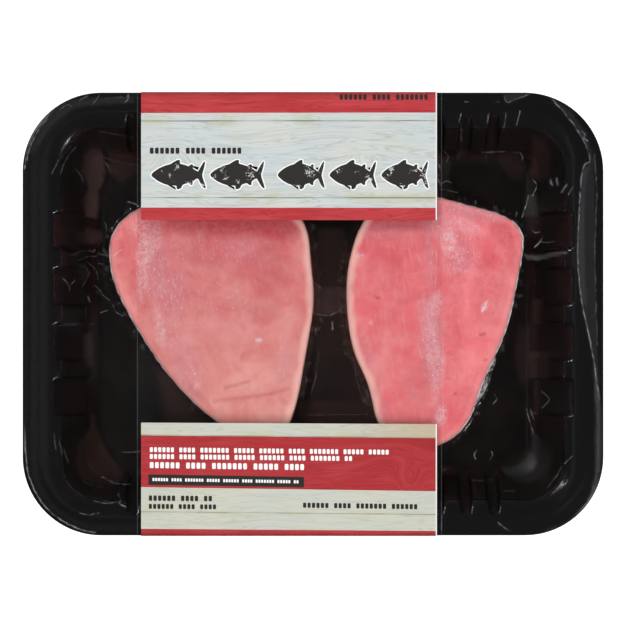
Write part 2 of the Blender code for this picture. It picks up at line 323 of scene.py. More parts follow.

# %% [markdown]
# ## Black tray plastic
# Black PET is drawn warm over a polished mould, so it is glossy and very dark. Its colour hardly shows:
# what the eye reads is the reflection, broken by the faint ripple that drawing leaves. Down in the well the
# colour is painted browner than on the flange, a painted reflection of the pink steaks in the film over it.

# %% Tray material
black_pet, tree = start_material("black_thermoformed_pet")
place = add_node(tree, "ShaderNodeTexCoord")
split = add_node(tree, "ShaderNodeSeparateXYZ", links={"Vector": place.outputs["Object"]})
down_well = add_node(tree, "ShaderNodeMapRange", {
    "From Min": FLANGE_TOP - 2.5 * MM, "From Max": FLANGE_TOP - 9.0 * MM,
}, {"Value": split.outputs["Z"]})
# The well's painted reflection is darker and lighter in patches of about this size.
PATCH = 22.0 * MM  # across one darker or lighter patch of the wash
patches = add_node(tree, "ShaderNodeTexNoise", {
    "Scale": 1 / PATCH, "Detail": 3.0, "Roughness": 0.6,
}, {"Vector": place.outputs["Object"]})
painted_well_reflection = add_node(tree, "ShaderNodeValToRGB", {
    "stops": [(0.36, "#070505"), (0.66, "#100c0a")],
}, {"Fac": patches.outputs["Fac"]})
tone = add_node(tree, "ShaderNodeMix", {"data_type": "RGBA", MIX_A: linear("#101012")}, {
    "Factor": down_well.outputs["Result"], MIX_B: painted_well_reflection.outputs["Color"],
})
ripple = add_node(tree, "ShaderNodeTexNoise", {
    "Scale": 1 / (2.5 * MM), "Detail": 3.0, "Roughness": 0.55,
}, {"Vector": place.outputs["Object"]})
bump = add_node(tree, "ShaderNodeBump", {"Strength": 0.10, "Distance": 0.3 * MM}, {
    "Height": ripple.outputs["Fac"],
})
duller = add_node(tree, "ShaderNodeMapRange", {"To Min": 0.26, "To Max": 0.42}, {
    "Value": down_well.outputs["Result"],
})  # where the sheet was drawn thin, its gloss is duller
gloss = add_node(tree, "ShaderNodeBsdfPrincipled", {"IOR": 1.5}, {
    "Base Color": tone.outputs[MIX_OUT], "Roughness": duller.outputs["Result"], "Normal": bump.outputs["Normal"],
})
add_node(tree, "ShaderNodeOutputMaterial", links={"Surface": gloss.outputs[0]})
tray = finish_piece("tray_sheet", tray_bm, [black_pet], "tray_plastic", "tray")

# %% [markdown]
# ## Steaks
# Each steak is a slab cut across the loin: a level cut face, a side that bellies out a little, and an edge
# rounded by the pull of the film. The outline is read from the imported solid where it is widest, smoothed,
# and given closer points. The side and the crown are loops again, offset from that outline, and the crown's
# relief follows the muscle: long low ridges that run down the steak.

# %% Outlines
OUTLINE_POINTS = 360
WIDEST = 10.6 * MM  # above the underside


def widest_outline(node):
    """Even points, anticlockwise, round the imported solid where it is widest."""
    bm = bmesh.new()
    bm.from_mesh(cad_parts[node].data)
    bmesh.ops.remove_doubles(bm, verts=bm.verts[:], dist=1e-6)
    level = Vector((0, 0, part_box(node)[0].z + WIDEST))
    everything = bm.verts[:] + bm.edges[:] + bm.faces[:]
    cut = bmesh.ops.bisect_plane(bm, geom=everything, plane_co=level, plane_no=Vector((0, 0, 1)))["geom_cut"]
    rim = {item for item in cut if isinstance(item, bmesh.types.BMEdge)}
    vert = next(iter(rim)).verts[0]
    corners = []
    while rim:
        edge = next((edge for edge in vert.link_edges if edge in rim), None)
        if edge is None:
            break
        rim.discard(edge)
        corners.append(np.array(vert.co[:2]))
        vert = edge.other_vert(vert)
    bm.free()
    corners = np.array(corners)
    closed = np.vstack([corners, corners[:1]])
    run = np.concatenate([[0.0], np.cumsum(np.linalg.norm(np.diff(closed, axis=0), axis=1))])
    wanted = np.linspace(0, run[-1], OUTLINE_POINTS, endpoint=False)
    outline = np.column_stack([np.interp(wanted, run, closed[:, axis]) for axis in (0, 1)])
    for _ in range(8):
        outline = outline / 2 + np.roll(outline, 1, axis=0) / 4 + np.roll(outline, -1, axis=0) / 4
    ahead = np.roll(outline, -1, axis=0)
    turned = (outline[:, 0] * ahead[:, 1] - outline[:, 1] * ahead[:, 0]).sum()
    return outline if turned > 0 else outline[::-1]


def outward(outline):
    along = np.roll(outline, -1, axis=0) - np.roll(outline, 1, axis=0)
    across = np.column_stack([along[:, 1], -along[:, 0]])
    return across / np.linalg.norm(across, axis=1)[:, None]


outlines = {name: widest_outline(name) for name in ("steak_left", "steak_right")}
print({name: len(outline) for name, outline in outlines.items()})


# %% Distance from an outline


def signed_distance(points, outline):
    """How far each point lies outside the outline, negative inside, for arrays of X and Y."""
    result = np.empty(len(points))
    start = outline
    step = np.roll(outline, -1, axis=0) - start
    length2 = (step**2).sum(1)
    for first in range(0, len(points), 4000):
        here = points[first:first + 4000, None, :] - start[None]
        part = np.clip((here * step).sum(2) / length2, 0, 1)
        apart = np.linalg.norm(here - part[..., None] * step, axis=2)
        y, y_end = start[:, 1], start[:, 1] + step[:, 1]
        py = points[first:first + 4000, None, 1]
        px = points[first:first + 4000, None, 0]
        crosses = (y <= py) != (y_end <= py)
        at = start[:, 0] + (py - y) / np.where(step[:, 1] == 0, 1e-12, step[:, 1]) * step[:, 0]
        inside = (crosses & (px < at)).sum(1) % 2 == 1
        result[first:first + 4000] = apart.min(1) * np.where(inside, -1, 1)
    return result


# %% Steak shape
STEAK_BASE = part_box("steak_left")[0].z
STEAK_SIDE = [
    (0.0, 2.6), (0.35, 1.9), (1.2, 1.05), (2.6, 0.5), (4.5, 0.2), (7.5, 0.05), (10.6, 0.0), (14.0, -0.1),
    (18.0, -0.25), (20.4, -0.3), (21.3, -0.15), (21.85, 0.15), (22.1, 0.6), (22.2, 1.2),
]  # mm above the underside, and mm inside the outline
CROWN_RISE = 1.1 * MM
CROWN_RINGS = 72


def steak_mesh(outline, seed):
    """Loops up the side and in over the crown, with relief on the crown."""
    out = outward(outline)
    loops = []
    for up, inside in STEAK_SIDE:
        ring = outline - out * inside * MM
        loops.append([Vector((x, y, STEAK_BASE + up * MM)) for x, y in ring])
    edge = outline - out * STEAK_SIDE[-1][1] * MM
    middle = edge.mean(axis=0)
    edge_height = STEAK_BASE + STEAK_SIDE[-1][0] * MM
    for step in range(1, CROWN_RINGS):
        scale = 1 - step / CROWN_RINGS
        rise = CROWN_RISE * (1 - scale**4)
        ring = middle + (edge - middle) * scale
        loop = []
        for x, y in ring:
            muscle = noise.noise(Vector((x / (5 * MM), y / (22 * MM), seed)))
            lumps = noise.noise(Vector((x / (17 * MM), y / (17 * MM), seed + 9)))
            relief = (0.16 * muscle + 0.28 * lumps) * MM * min(1, step / 8)
            loop.append(Vector((x, y, edge_height + rise + relief)))
        loops.append(loop)
    bm = lofted(loops)
    return bm


steak_meshes = {name: steak_mesh(outlines[name], seed) for name, seed in (("steak_left", 3.1), ("steak_right", 7.7))}

# %% [markdown]
# ## Raw tuna flesh
# Thawed tuna that has been treated to keep its colour is a milky pink, redder where it is thick and paler
# towards a cut edge, with fine pale streaks of connective tissue. Light goes a little way in before it
# comes out, so the shader has a little scattering. The places of frost, of the pale rim, of the blood specks
# and of painted shade belong to the shape, so they are painted on its points and only broken up by noise in
# the shader. The painted shade is the sleeve's shadow on the flesh below its upper panel, a darker rim along
# the steaks' other edges, and the dark in the creases. Tiny white flecks in the hazy places are painted
# glints of the film.

# %% Painted places
DOWN_STEAK = math.radians(-79)  # the way the streaks run, a little to the right of straight down


def paint(mesh, name, values):
    """Stores one number for each point of a mesh, for its material to read."""
    mesh.attributes.new(name, "FLOAT", "POINT").data.foreach_set("value", np.asarray(values, np.float32))


def places_of(mesh):
    co = np.empty(len(mesh.vertices) * 3, np.float32)
    mesh.vertices.foreach_get("co", co)
    return co.reshape(-1, 3).astype(float)


def smooth_route(corners, step):
    """Even points on a Catmull-Rom curve through a route in mm, and the unit direction across it."""
    corners = np.array(corners, float) * MM
    ends = np.vstack([2 * corners[0] - corners[1], corners, 2 * corners[-1] - corners[-2]])
    fine = []
    for p0, p1, p2, p3 in zip(ends, ends[1:], ends[2:], ends[3:]):
        for t in np.linspace(0, 1, 12, endpoint=False):
            fine.append((2 * p1 + (p2 - p0) * t + (2 * p0 - 5 * p1 + 4 * p2 - p3) * t**2
                         + (3 * p1 - p0 - 3 * p2 + p3) * t**3) / 2)
    fine = np.array(fine + [corners[-1]])
    run = np.concatenate([[0.0], np.cumsum(np.linalg.norm(np.diff(fine, axis=0), axis=1))])
    wanted = np.linspace(0, run[-1], max(3, int(run[-1] / step) + 1))
    route = np.column_stack([np.interp(wanted, run, fine[:, axis]) for axis in (0, 1)])
    along = np.gradient(route, axis=0)
    along /= np.linalg.norm(along, axis=1)[:, None]
    return route, np.column_stack([-along[:, 1], along[:, 0]])


def spot(points, x, y, half_long, half_wide, turn=0.0):
    """A soft oval, 1 at its middle and 0 outside, at a place and of a size in mm, turned by degrees."""
    a = math.radians(turn)
    dx, dy = points[:, 0] / MM - x, points[:, 1] / MM - y
    along = (dx * math.cos(a) + dy * math.sin(a)) / half_long
    across = (dy * math.cos(a) - dx * math.sin(a)) / half_wide
    return np.clip(1.25 * (1 - along**2 - across**2), 0, 1)


PALE_EDGE = 3.4 * MM  # how far the pale rim reaches in from the outline
# DARK_EDGE is how far in the painted shade along the steaks' other edges reaches.
DARK_EDGE = 3.5 * MM  # and the darker rim on the other sides
FROST = {
    "steak_left": [(-70.5, 22, 20, 3.0, 88, 0.8), (-66, 30, 9, 4, 80, 0.4), (-63.5, -6, 10, 3, 98, 0.6),
                   (-72, 36, 6, 5, 0, 0.5), (-48, -29, 3.5, 2, 80, 0.7), (-22.5, -11, 1.8, 1.4, 0, 1.0)],
    "steak_right": [(56.5, 29, 8, 4, 100, 0.85), (62, 37, 12, 3.5, -20, 0.3), (58, 22, 8, 6, 60, 0.4), (51, 4, 8, 3, 80, 0.65),
                    (49.5, -13, 20, 4, 97, 0.55), (52, -26, 12, 3, 80, 0.5), (53, -42, 5, 3, 80, 0.9),
                    (71, 3, 3.4, 1.6, 65, 0.8), (18.6, 24, 1.6, 1.2, 0, 0.8), (24, -3.4, 1.4, 1.4, 0, 0.6)],
}
HAZE = {
    "steak_left": [(-65, 20, 24, 6, 94, 0.9), (-60, -2, 22, 8, 100, 0.5), (-58, 8, 13, 8, 92, 0.85),
                   (-12, -21, 13, 5, 84, 0.55), (-52, -22, 20, 8, 108, 0.6),
                   (-38, 26, 30, 10, 0, 0.35), (-40, 0, 24, 20, 0, 0.3)],
    "steak_right": [(58, 36, 16, 9, -14, 0.6), (66, 42, 16, 4, -12, 0.9), (27.5, -38, 9, 3.4, -62, 0.6),
                    (21.5, -16, 9, 4, 100, 0.5), (64, 24, 10, 7, 60, 0.6), (49, -12, 26, 6, 95, 0.9), (52, -40, 8, 5, 80, 0.6),
                    (48, 22, 18, 2.4, 92, 0.6), (28, 33, 12, 6, 0, 0.3)],
}
# Darker, redder ovals, as X and Y, half sizes in mm, turn in degrees and strength. The smallest are blood specks. The
# large ones along the top are the painted shadow of the sleeve's upper panel on the flesh, those at the edges are
# painted shade where the edge curves down, and the rest are darker tone.
BLOOD_AND_SHADE = {
    "steak_left": [(-34, 38, 28, 9, 0, 0.8), (-17, 26, 9, 8, 60, 0.3), (-27, 17, 8, 4, -40, 0.14), (-78, 24, 14, 5, 80, 0.3),
                   (-38, 22, 26, 14, 0, 0.2), (-18, 19, 17, 11, 90, 0.36), (-73, 12, 13, 5, 98, 0.4),
                   (-14, 36, 13, 8, 0, 0.75), (-20, 0, 9, 6, 10, 0.35), (-48, -35, 12, 3.6, -46, 0.45)],
    "steak_right": [(36, 39, 22, 6, 0, 0.6), (74, 12, 24, 10, 84, 0.42), (48, -46, 20, 10, 0, 0.12), (61, -38, 16, 8, 58, 0.4),
                    (56, -2, 44, 8, 90, 0.4), (60, 24, 14, 7, 90, 0.5), (66, 43, 18, 5, -12, 0.5), (84, 26, 18, 6, 97, 0.5),
                    (27, 6.6, 1.0, 0.8, 0, 0.6), (59, -33, 1.4, 0.9, 10, 0.8), (70.5, -8.4, 1.9, 0.9, 15, 0.8),
                    (71.6, -19, 1.4, 0.8, 0, 0.6), (74.8, 24, 1.2, 0.9, 0, 0.6), (33, 19, 7, 5, -60, 0.16),
                    (44, -29, 14, 8, 80, 0.3), (79, 34, 11, 6, -64, 0.6),
                    (30, -2, 8, 5, 30, 0.12), (74, 12, 9, 3, 80, 0.2), (42, -40, 8, 5, 0, 0.1)],
}
# A crease in the flesh is its route in mm, half its width, its depth, and how much darker it is, as painted shade in
# the crease.
FLESH_CREASES = {
    "steak_left": [([(-36.5, -30.6), (-31, -29.2), (-26.4, -27.9)], 0.5, 0.3, 0.65),
                   ([(-41, -36.2), (-34, -35.2), (-28, -34.7), (-19, -33.4), (-10.5, -31)], 0.8, 0.35, 0.42),
                   ([(-30, -18), (-22, -10), (-12, -4)], 0.9, 0.1, 0.12), ([(-44, 4), (-30, 2), (-16, 8)], 0.9, 0.1, 0.1),
                   ([(-34, 24), (-24, 14), (-10, 10)], 0.9, 0.1, 0.12), ([(-40, 14), (-28, 4), (-14, -2)], 0.9, 0.1, 0.1)],
    "steak_right": [([(25.8, 7.4), (26.8, 6.4)], 0.35, 0.1, 0.9), ([(34, 0), (38, 5), (47, 8)], 0.8, 0.1, 0.12),
                    ([(69, -8.6), (71, -7.8)], 0.4, 0.1, 0.8)],
}
PALE_SIDE = {"steak_left": (1.0, -0.35), "steak_right": (-1.0, -0.1)}  # the way the pale rim faces


def paint_steak(mesh, name):
    points = places_of(mesh)
    outline = outlines[name]
    inside = -signed_distance(points[:, :2], outline)
    nearest = [int(np.argmin(((outline - point[:2]) ** 2).sum(1))) for point in points]
    facing = outward(outline)[nearest] @ np.array(PALE_SIDE[name]) / np.linalg.norm(PALE_SIDE[name])
    wavy = np.array([noise.noise(Vector((x, y, 0)) / (6 * MM)) for x, y, _ in points])
    rim = np.clip((PALE_EDGE * (1 + 0.35 * wavy) - inside) / (2.0 * MM), 0, 1)
    rim *= 0.15 + 0.75 * np.clip(facing * 1.4, 0, 1)
    frost = np.zeros(len(points))
    for x, y, long, wide, turn, strength in FROST[name]:
        frost = np.maximum(frost, strength * spot(points, x, y, long, wide, turn))
    haze = np.zeros(len(points))
    for x, y, long, wide, turn, strength in HAZE[name]:
        haze = np.maximum(haze, strength * spot(points, x, y, long, wide, turn))
    blood = np.zeros(len(points))
    for x, y, long, wide, turn, strength in BLOOD_AND_SHADE[name]:
        blood = np.maximum(blood, strength * spot(points, x, y, long, wide, turn))
    # Painted shade: a darker rim along the edges that face away from the pale side.
    blood = np.maximum(blood, 0.4 * np.clip(1 - inside / DARK_EDGE, 0, 1) * np.clip(0.3 - facing, 0, 1))
    sunk = np.zeros(len(points))
    # Each crease is sunk into the flesh and painted darker, as painted shade in the crease.
    for corners, half_width, depth, dark in FLESH_CREASES[name]:
        route, _ = smooth_route(corners, 0.5 * MM)
        apart = np.array([np.linalg.norm(route - point[:2], axis=1).min() for point in points]) / (half_width * MM)
        sunk += depth * MM * np.exp(-(apart**2))
        blood = np.maximum(blood, dark * np.exp(-(apart**2)))
    points[:, 2] -= np.where(points[:, 2] > STEAK_BASE + 20 * MM, sunk, 0)
    mesh.vertices.foreach_set("co", points.astype(np.float32).ravel())
    for label, values in (("rim", rim), ("haze", haze), ("frost", frost), ("blood", blood)):
        paint(mesh, label, values)


# %% Flesh material
STREAK = (0.8 * MM, 11.0 * MM)  # across and along one pale streak
SCRATCH = (0.6 * MM, 3.4 * MM)  # across and along one scratch in the haze
FLESH_TONES = {
    "steak_left": (("#df6c72", "#ea9696"), ("#e89690", "#f4b0a8")),
    "steak_right": (("#ec727b", "#f8999e"), ("#f27a80", "#f69c9e")),
}  # dark and light at the top of the print, then at its foot


def flesh_material(name):
    made, tree = start_material("raw_tuna_flesh_" + name)
    place = add_node(tree, "ShaderNodeTexCoord").outputs["Object"]
    low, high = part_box(name)
    split = add_node(tree, "ShaderNodeSeparateXYZ", links={"Vector": place})
    towards_top = add_node(tree, "ShaderNodeMapRange", {
        "From Min": low.y * 0.6, "From Max": high.y * 0.75,
    }, {"Value": split.outputs["Y"]})
    clouds = add_node(tree, "ShaderNodeTexNoise", {
        "Scale": 1 / (16 * MM), "Detail": 4.0, "Roughness": 0.6, "Distortion": 0.4,
    }, {"Vector": place})
    tones = []
    for dark, light in FLESH_TONES[name]:
        tones.append(add_node(tree, "ShaderNodeValToRGB", {
            "stops": [(0.34, dark), (0.66, light)],
        }, {"Fac": clouds.outputs["Fac"]}))
    body = add_node(tree, "ShaderNodeMix", {"data_type": "RGBA"}, {
        "Factor": towards_top.outputs["Result"],
        MIX_A: tones[1].outputs["Color"], MIX_B: tones[0].outputs["Color"],
    })
    turned = add_node(tree, "ShaderNodeMapping", {
        "vector_type": "TEXTURE", "Rotation": (0.0, 0.0, DOWN_STEAK), "Scale": (STREAK[1], STREAK[0], STREAK[1]),
    }, {"Vector": place})
    fibres = add_node(tree, "ShaderNodeTexNoise", {
        "Scale": 1.0, "Detail": 4.0, "Roughness": 0.62, "Distortion": 0.35,
    }, {"Vector": turned.outputs["Vector"]})
    streaks = add_node(tree, "ShaderNodeMapRange", {
        "From Min": 0.54, "From Max": 0.80, "To Max": 0.55,
    }, {"Value": fibres.outputs["Fac"]})
    streaked = add_node(tree, "ShaderNodeMix", {"data_type": "RGBA", MIX_B: linear("#f0b3ac")}, {
        "Factor": streaks.outputs["Result"], MIX_A: body.outputs[MIX_OUT],
    })
    mottle = add_node(tree, "ShaderNodeTexNoise", {
        "Scale": 1 / (6.5 * MM), "Detail": 4.0, "Roughness": 0.6, "Distortion": 0.5,
    }, {"Vector": place})
    grit = add_node(tree, "ShaderNodeTexNoise", {
        "Scale": 1 / (2.2 * MM), "Detail": 5.0, "Roughness": 0.7, "Distortion": 0.8,
    }, {"Vector": place})
    veins = add_node(tree, "ShaderNodeTexNoise", {
        "Scale": 1 / (1.7 * MM), "Detail": 3.0, "Roughness": 0.6, "Distortion": 1.6,
    }, {"Vector": place})
    upright = add_node(tree, "ShaderNodeMapping", {
        "vector_type": "TEXTURE", "Rotation": (0.0, 0.0, DOWN_STEAK), "Scale": (SCRATCH[1], SCRATCH[0], SCRATCH[1]),
    }, {"Vector": place})
    scratches = add_node(tree, "ShaderNodeTexNoise", {
        "Scale": 1.0, "Detail": 4.0, "Roughness": 0.7, "Distortion": 0.2,
    }, {"Vector": upright.outputs["Vector"]})
    glint_flecks = add_node(tree, "ShaderNodeTexNoise", {"Scale": 1 / (0.9 * MM), "Detail": 2.0}, {"Vector": place})

    def painted(label):
        return add_node(tree, "ShaderNodeAttribute", {"attribute_name": label}).outputs["Fac"]

    def ramp(source, stops):
        return add_node(tree, "ShaderNodeValToRGB", {"stops": stops}, {"Fac": source.outputs["Fac"]}).outputs["Color"]

    last = streaked.outputs[MIX_OUT]
    for tint, where, pattern in (
        ("#d05c66", None, ramp(mottle, [(0.34, 0.20), (0.50, 0.0)])),
        ("#f8bcb8", None, ramp(mottle, [(0.52, 0.0), (0.70, 0.20)])),
        # Blood specks and painted shade: the sleeve's shadow, the darker edges and the creases.
        ("#c23c4c", painted("blood"), ramp(grit, [(0.2, 0.3), (0.62, 1.0)])),
        ("#cf9aa8", painted("haze"), ramp(grit, [(0.3, 0.15), (0.7, 0.55)])),
        ("#f8d2d4", painted("haze"), ramp(scratches, [(0.56, 0.0), (0.66, 0.55)])),
        # Painted glints of the film: tiny white flecks in the hazy places.
        ("#fff0f0", painted("haze"), ramp(glint_flecks, [(0.66, 0.0), (0.72, 0.9)])),
        ("#fbe0e4", painted("frost"), ramp(veins, [(0.45, 0.0), (0.50, 0.8), (0.55, 0.0)])),
        ("#f0c4c8", painted("frost"), ramp(grit, [(0.46, 0.0), (0.60, 0.8)])),
        ("#ffc6bc", painted("rim"), None),
    ):
        share = pattern if where is None else where
        if where is not None and pattern is not None:
            share = add_node(tree, "ShaderNodeMath", {"operation": "MULTIPLY"}, {0: where, 1: pattern}).outputs[0]
        last = add_node(tree, "ShaderNodeMix", {"data_type": "RGBA", MIX_B: linear(tint)}, {
            "Factor": share, MIX_A: last,
        }).outputs[MIX_OUT]
    grain = add_node(tree, "ShaderNodeBump", {"Strength": 0.25, "Distance": 0.25 * MM}, {
        "Height": fibres.outputs["Fac"],
    })
    pores = add_node(tree, "ShaderNodeBump", {"Strength": 0.12, "Distance": 0.2 * MM}, {
        "Height": grit.outputs["Fac"], "Normal": grain.outputs["Normal"],
    })
    moist = add_node(tree, "ShaderNodeBsdfPrincipled", {
        "Roughness": 0.45, "IOR": 1.38, "Subsurface Weight": 0.4,
        "Subsurface Radius": (1.0, 0.25, 0.2), "Subsurface Scale": 3.0 * MM,
    }, {"Base Color": last, "Normal": pores.outputs["Normal"]})
    add_node(tree, "ShaderNodeOutputMaterial", links={"Surface": moist.outputs[0]})
    return made


steaks = {}
for name, bm in steak_meshes.items():
    steaks[name] = finish_piece(name + "_flesh", bm, [flesh_material(name)], "tuna_flesh", name)
    paint_steak(steaks[name].data, name)

# %% [markdown]
# ## Skin film
# The clear film was heated, laid over the tray and drawn down by vacuum, so it clings to everything: flat on
# the flange, down the walls, over the floor and up over each steak. What shows of it are its edges and
# creases, where it is stretched white and carries painted glints, and the gloss on each ridge. It is one
# height for each place, so it can be a flat triangulation that is then dropped onto the pack. Its points run
# in rings along the tray's walls and the steaks' outlines and in rows along each crease, so that every bend
# is a clean line, and a plain grid fills the rest.

# %% Creases and lifted patches, each in mm on the pack
# A crease is its route, half its width, its height and how white it is: stretched white and a painted glint
# on its ridge. Two shares thin them all.
CREASE_WIDTH = 0.8
CREASE_HEIGHT = 0.5
CREASES_ON_LEFT_FLANGE = [
    ([(-118.9, 61), (-118.2, 67), (-115.6, 74), (-111.2, 80.4), (-106.6, 84.8)], 0.4, 0.15, 0.7),
    ([(-118.2, 63), (-116.8, 69), (-113.6, 75.6), (-109.6, 80.8)], 0.35, 0.12, 0.5),
    ([(-104.6, 84.2), (-101.4, 86.4), (-99.8, 85.6)], 0.35, 0.15, 0.25), ([(-96, 88.4), (-92.8, 90.2)], 0.4, 0.15, 0.2),
    ([(-91.4, 86.6), (-89.6, 88.2), (-88.4, 90)], 0.35, 0.15, 0.3), ([(-86, 88.8), (-82, 89.4), (-77, 89.2)], 0.4, 0.12, 0.12),
    ([(-77.6, 87.6), (-76.4, 88.6), (-76.2, 90)], 0.4, 0.2, 0.4),
    ([(-104.6, 65.6), (-102.4, 69.4), (-100.2, 71.6)], 0.35, 0.12, 0.14),
    ([(-104.0, 64.2), (-102.2, 67.0), (-100.4, 69.4)], 0.3, 0.10, 0.12),
    ([(-107.6, 58.1), (-105.2, 63.5)], 0.3, 0.12, 0.3),
    ([(-104.2, 57.8), (-103.2, 61.4), (-101.4, 65.6), (-98.6, 69.2)], 0.3, 0.12, 0.2),
    ([(-118.8, -55.3), (-117.9, -64), (-115.3, -72.2), (-110.6, -79.4), (-105.4, -84.1), (-97.6, -88.4), (-90.1, -90.3)],
     0.35, 0.2, 0.55),
]
CREASES_IN_LEFT_WELL = [
    ([(-90.5, 65.0), (-87.4, 63.5), (-85.4, 60.8)], 0.35, 0.3, 0.35),
    ([(-99, 60.2), (-97.4, 58.2), (-96.5, 56.1)], 0.3, 0.25, 0.5),
    ([(-88, 75.6), (-80, 74.4), (-73.4, 73.2)], 0.3, 0.25, 0.2),
    ([(-88, 65.8), (-80, 63.6), (-73.4, 62.4)], 0.3, 0.25, 0.2),
    ([(-88.3, 40), (-87.2, 37.2), (-87, 33.8)], 0.3, 0.3, 0.4),
    ([(-89.5, 25.2), (-86.2, 24.3)], 0.35, 0.3, 0.6),
    ([(-90.3, 21.4), (-89, 21.2)], 0.35, 0.25, 0.6),
    ([(-97.6, 20.0), (-95.6, 19.6), (-94.2, 17.4)], 0.3, 0.3, 0.2), ([(-96.8, 11.6), (-95.4, 14.0), (-94.4, 16.2)], 0.3, 0.2, 0.2),
    ([(-103.5, 14.4), (-101.8, 12.2), (-101.4, 10.2)], 0.4, 0.4, 0.5), ([(-99.6, 14.0), (-101.4, 11.6)], 0.3, 0.3, 0.4),
    ([(-93.0, 12.6), (-90.4, 10.6), (-88.2, 7.8)], 0.3, 0.3, 0.3), ([(-98.0, 22.4), (-95.0, 24.0), (-91.4, 24.4)], 0.3, 0.2, 0.25),
    ([(-100.6, 24.6), (-96.4, 26.4), (-92.0, 26.2)], 0.3, 0.2, 0.2), ([(-94.6, 21.6), (-91.6, 18.6), (-90.6, 14.6)], 0.3, 0.2, 0.2),
    ([(-90.7, 9.1), (-88.4, 7.8), (-85.8, 5.8)], 0.3, 0.25, 0.4),
    ([(-94.9, 7.6), (-94.0, 5.6)], 0.35, 0.3, 0.45), ([(-95.4, 2.1), (-95.5, 0.8), (-95.2, -2.5)], 0.3, 0.25, 0.25),
    ([(-84.2, 3.6), (-83.2, 1.2), (-80.6, -0.6)], 0.35, 0.3, 0.6), ([(-89.4, 0.6), (-86.8, 1.4)], 0.35, 0.3, 0.4),
    ([(-77.5, 47), (-74.4, 46.2), (-71, 44.1)], 0.5, 0.3, 0.8),
    ([(-104.4, -56), (-102.4, -66.9), (-97.6, -73.7), (-83.8, -77.8)], 0.35, 0.2, 0.12),
    ([(-96.9, -68.6), (-92, -71.6), (-86, -71.9), (-80, -69.2)], 0.35, 0.25, 0.14),
    ([(-80, -58.1), (-76.4, -58.3), (-73.4, -58.1)], 0.3, 0.25, 0.4),
    ([(-88.7, -68.5), (-83, -70.8), (-77.1, -71.3)], 0.35, 0.3, 0.45),
    ([(-90.3, -77.4), (-85.8, -78.2), (-80.8, -77.6)], 0.35, 0.3, 0.4),
    ([(-96.1, -82.2), (-92.4, -82.9), (-88.7, -82.4)], 0.35, 0.25, 0.4),
    ([(-80.8, -75.1), (-79.4, -77), (-79.8, -78.2), (-77.1, -79.6)], 0.45, 0.35, 0.7),
    ([(-106.8, -50), (-106.2, -55.4)], 0.3, 0.25, 0.35), ([(-104.9, -52), (-103.6, -58.6)], 0.3, 0.25, 0.35),
    ([(-103.2, -56), (-101.6, -61.8)], 0.3, 0.25, 0.3),
]
CREASES_BETWEEN_STEAKS = [
    ([(-1.2, 13.4), (0.8, 12.9), (3.3, 11.0)], 0.35, 0.3, 0.6),
    ([(0.2, 0.9), (2.6, -0.1), (6.6, -0.7), (10.7, 1.0), (14, 0.2)], 0.35, 0.3, 0.35),
    ([(1.2, -6.2), (1.3, -8.4)], 0.35, 0.25, 0.7), ([(8.2, -4.2), (8.3, -5.8)], 0.35, 0.25, 0.7),
    ([(-3.6, -23.1), (-3.2, -25.6), (-2.6, -28.5)], 0.3, 0.25, 0.5),
    ([(21.6, -32), (22.6, -33.2), (22.9, -34.6)], 0.45, 0.35, 0.9),
    ([(-9, -42.4), (4, -42.6), (24, -42.2)], 0.3, 0.2, 0.2),
    ([(2.4, -16.6), (1.2, -26), (-1.6, -36.6)], 0.3, 0.25, 0.2), ([(16.8, -17), (18.4, -27), (21.2, -37)], 0.3, 0.25, 0.2),
]
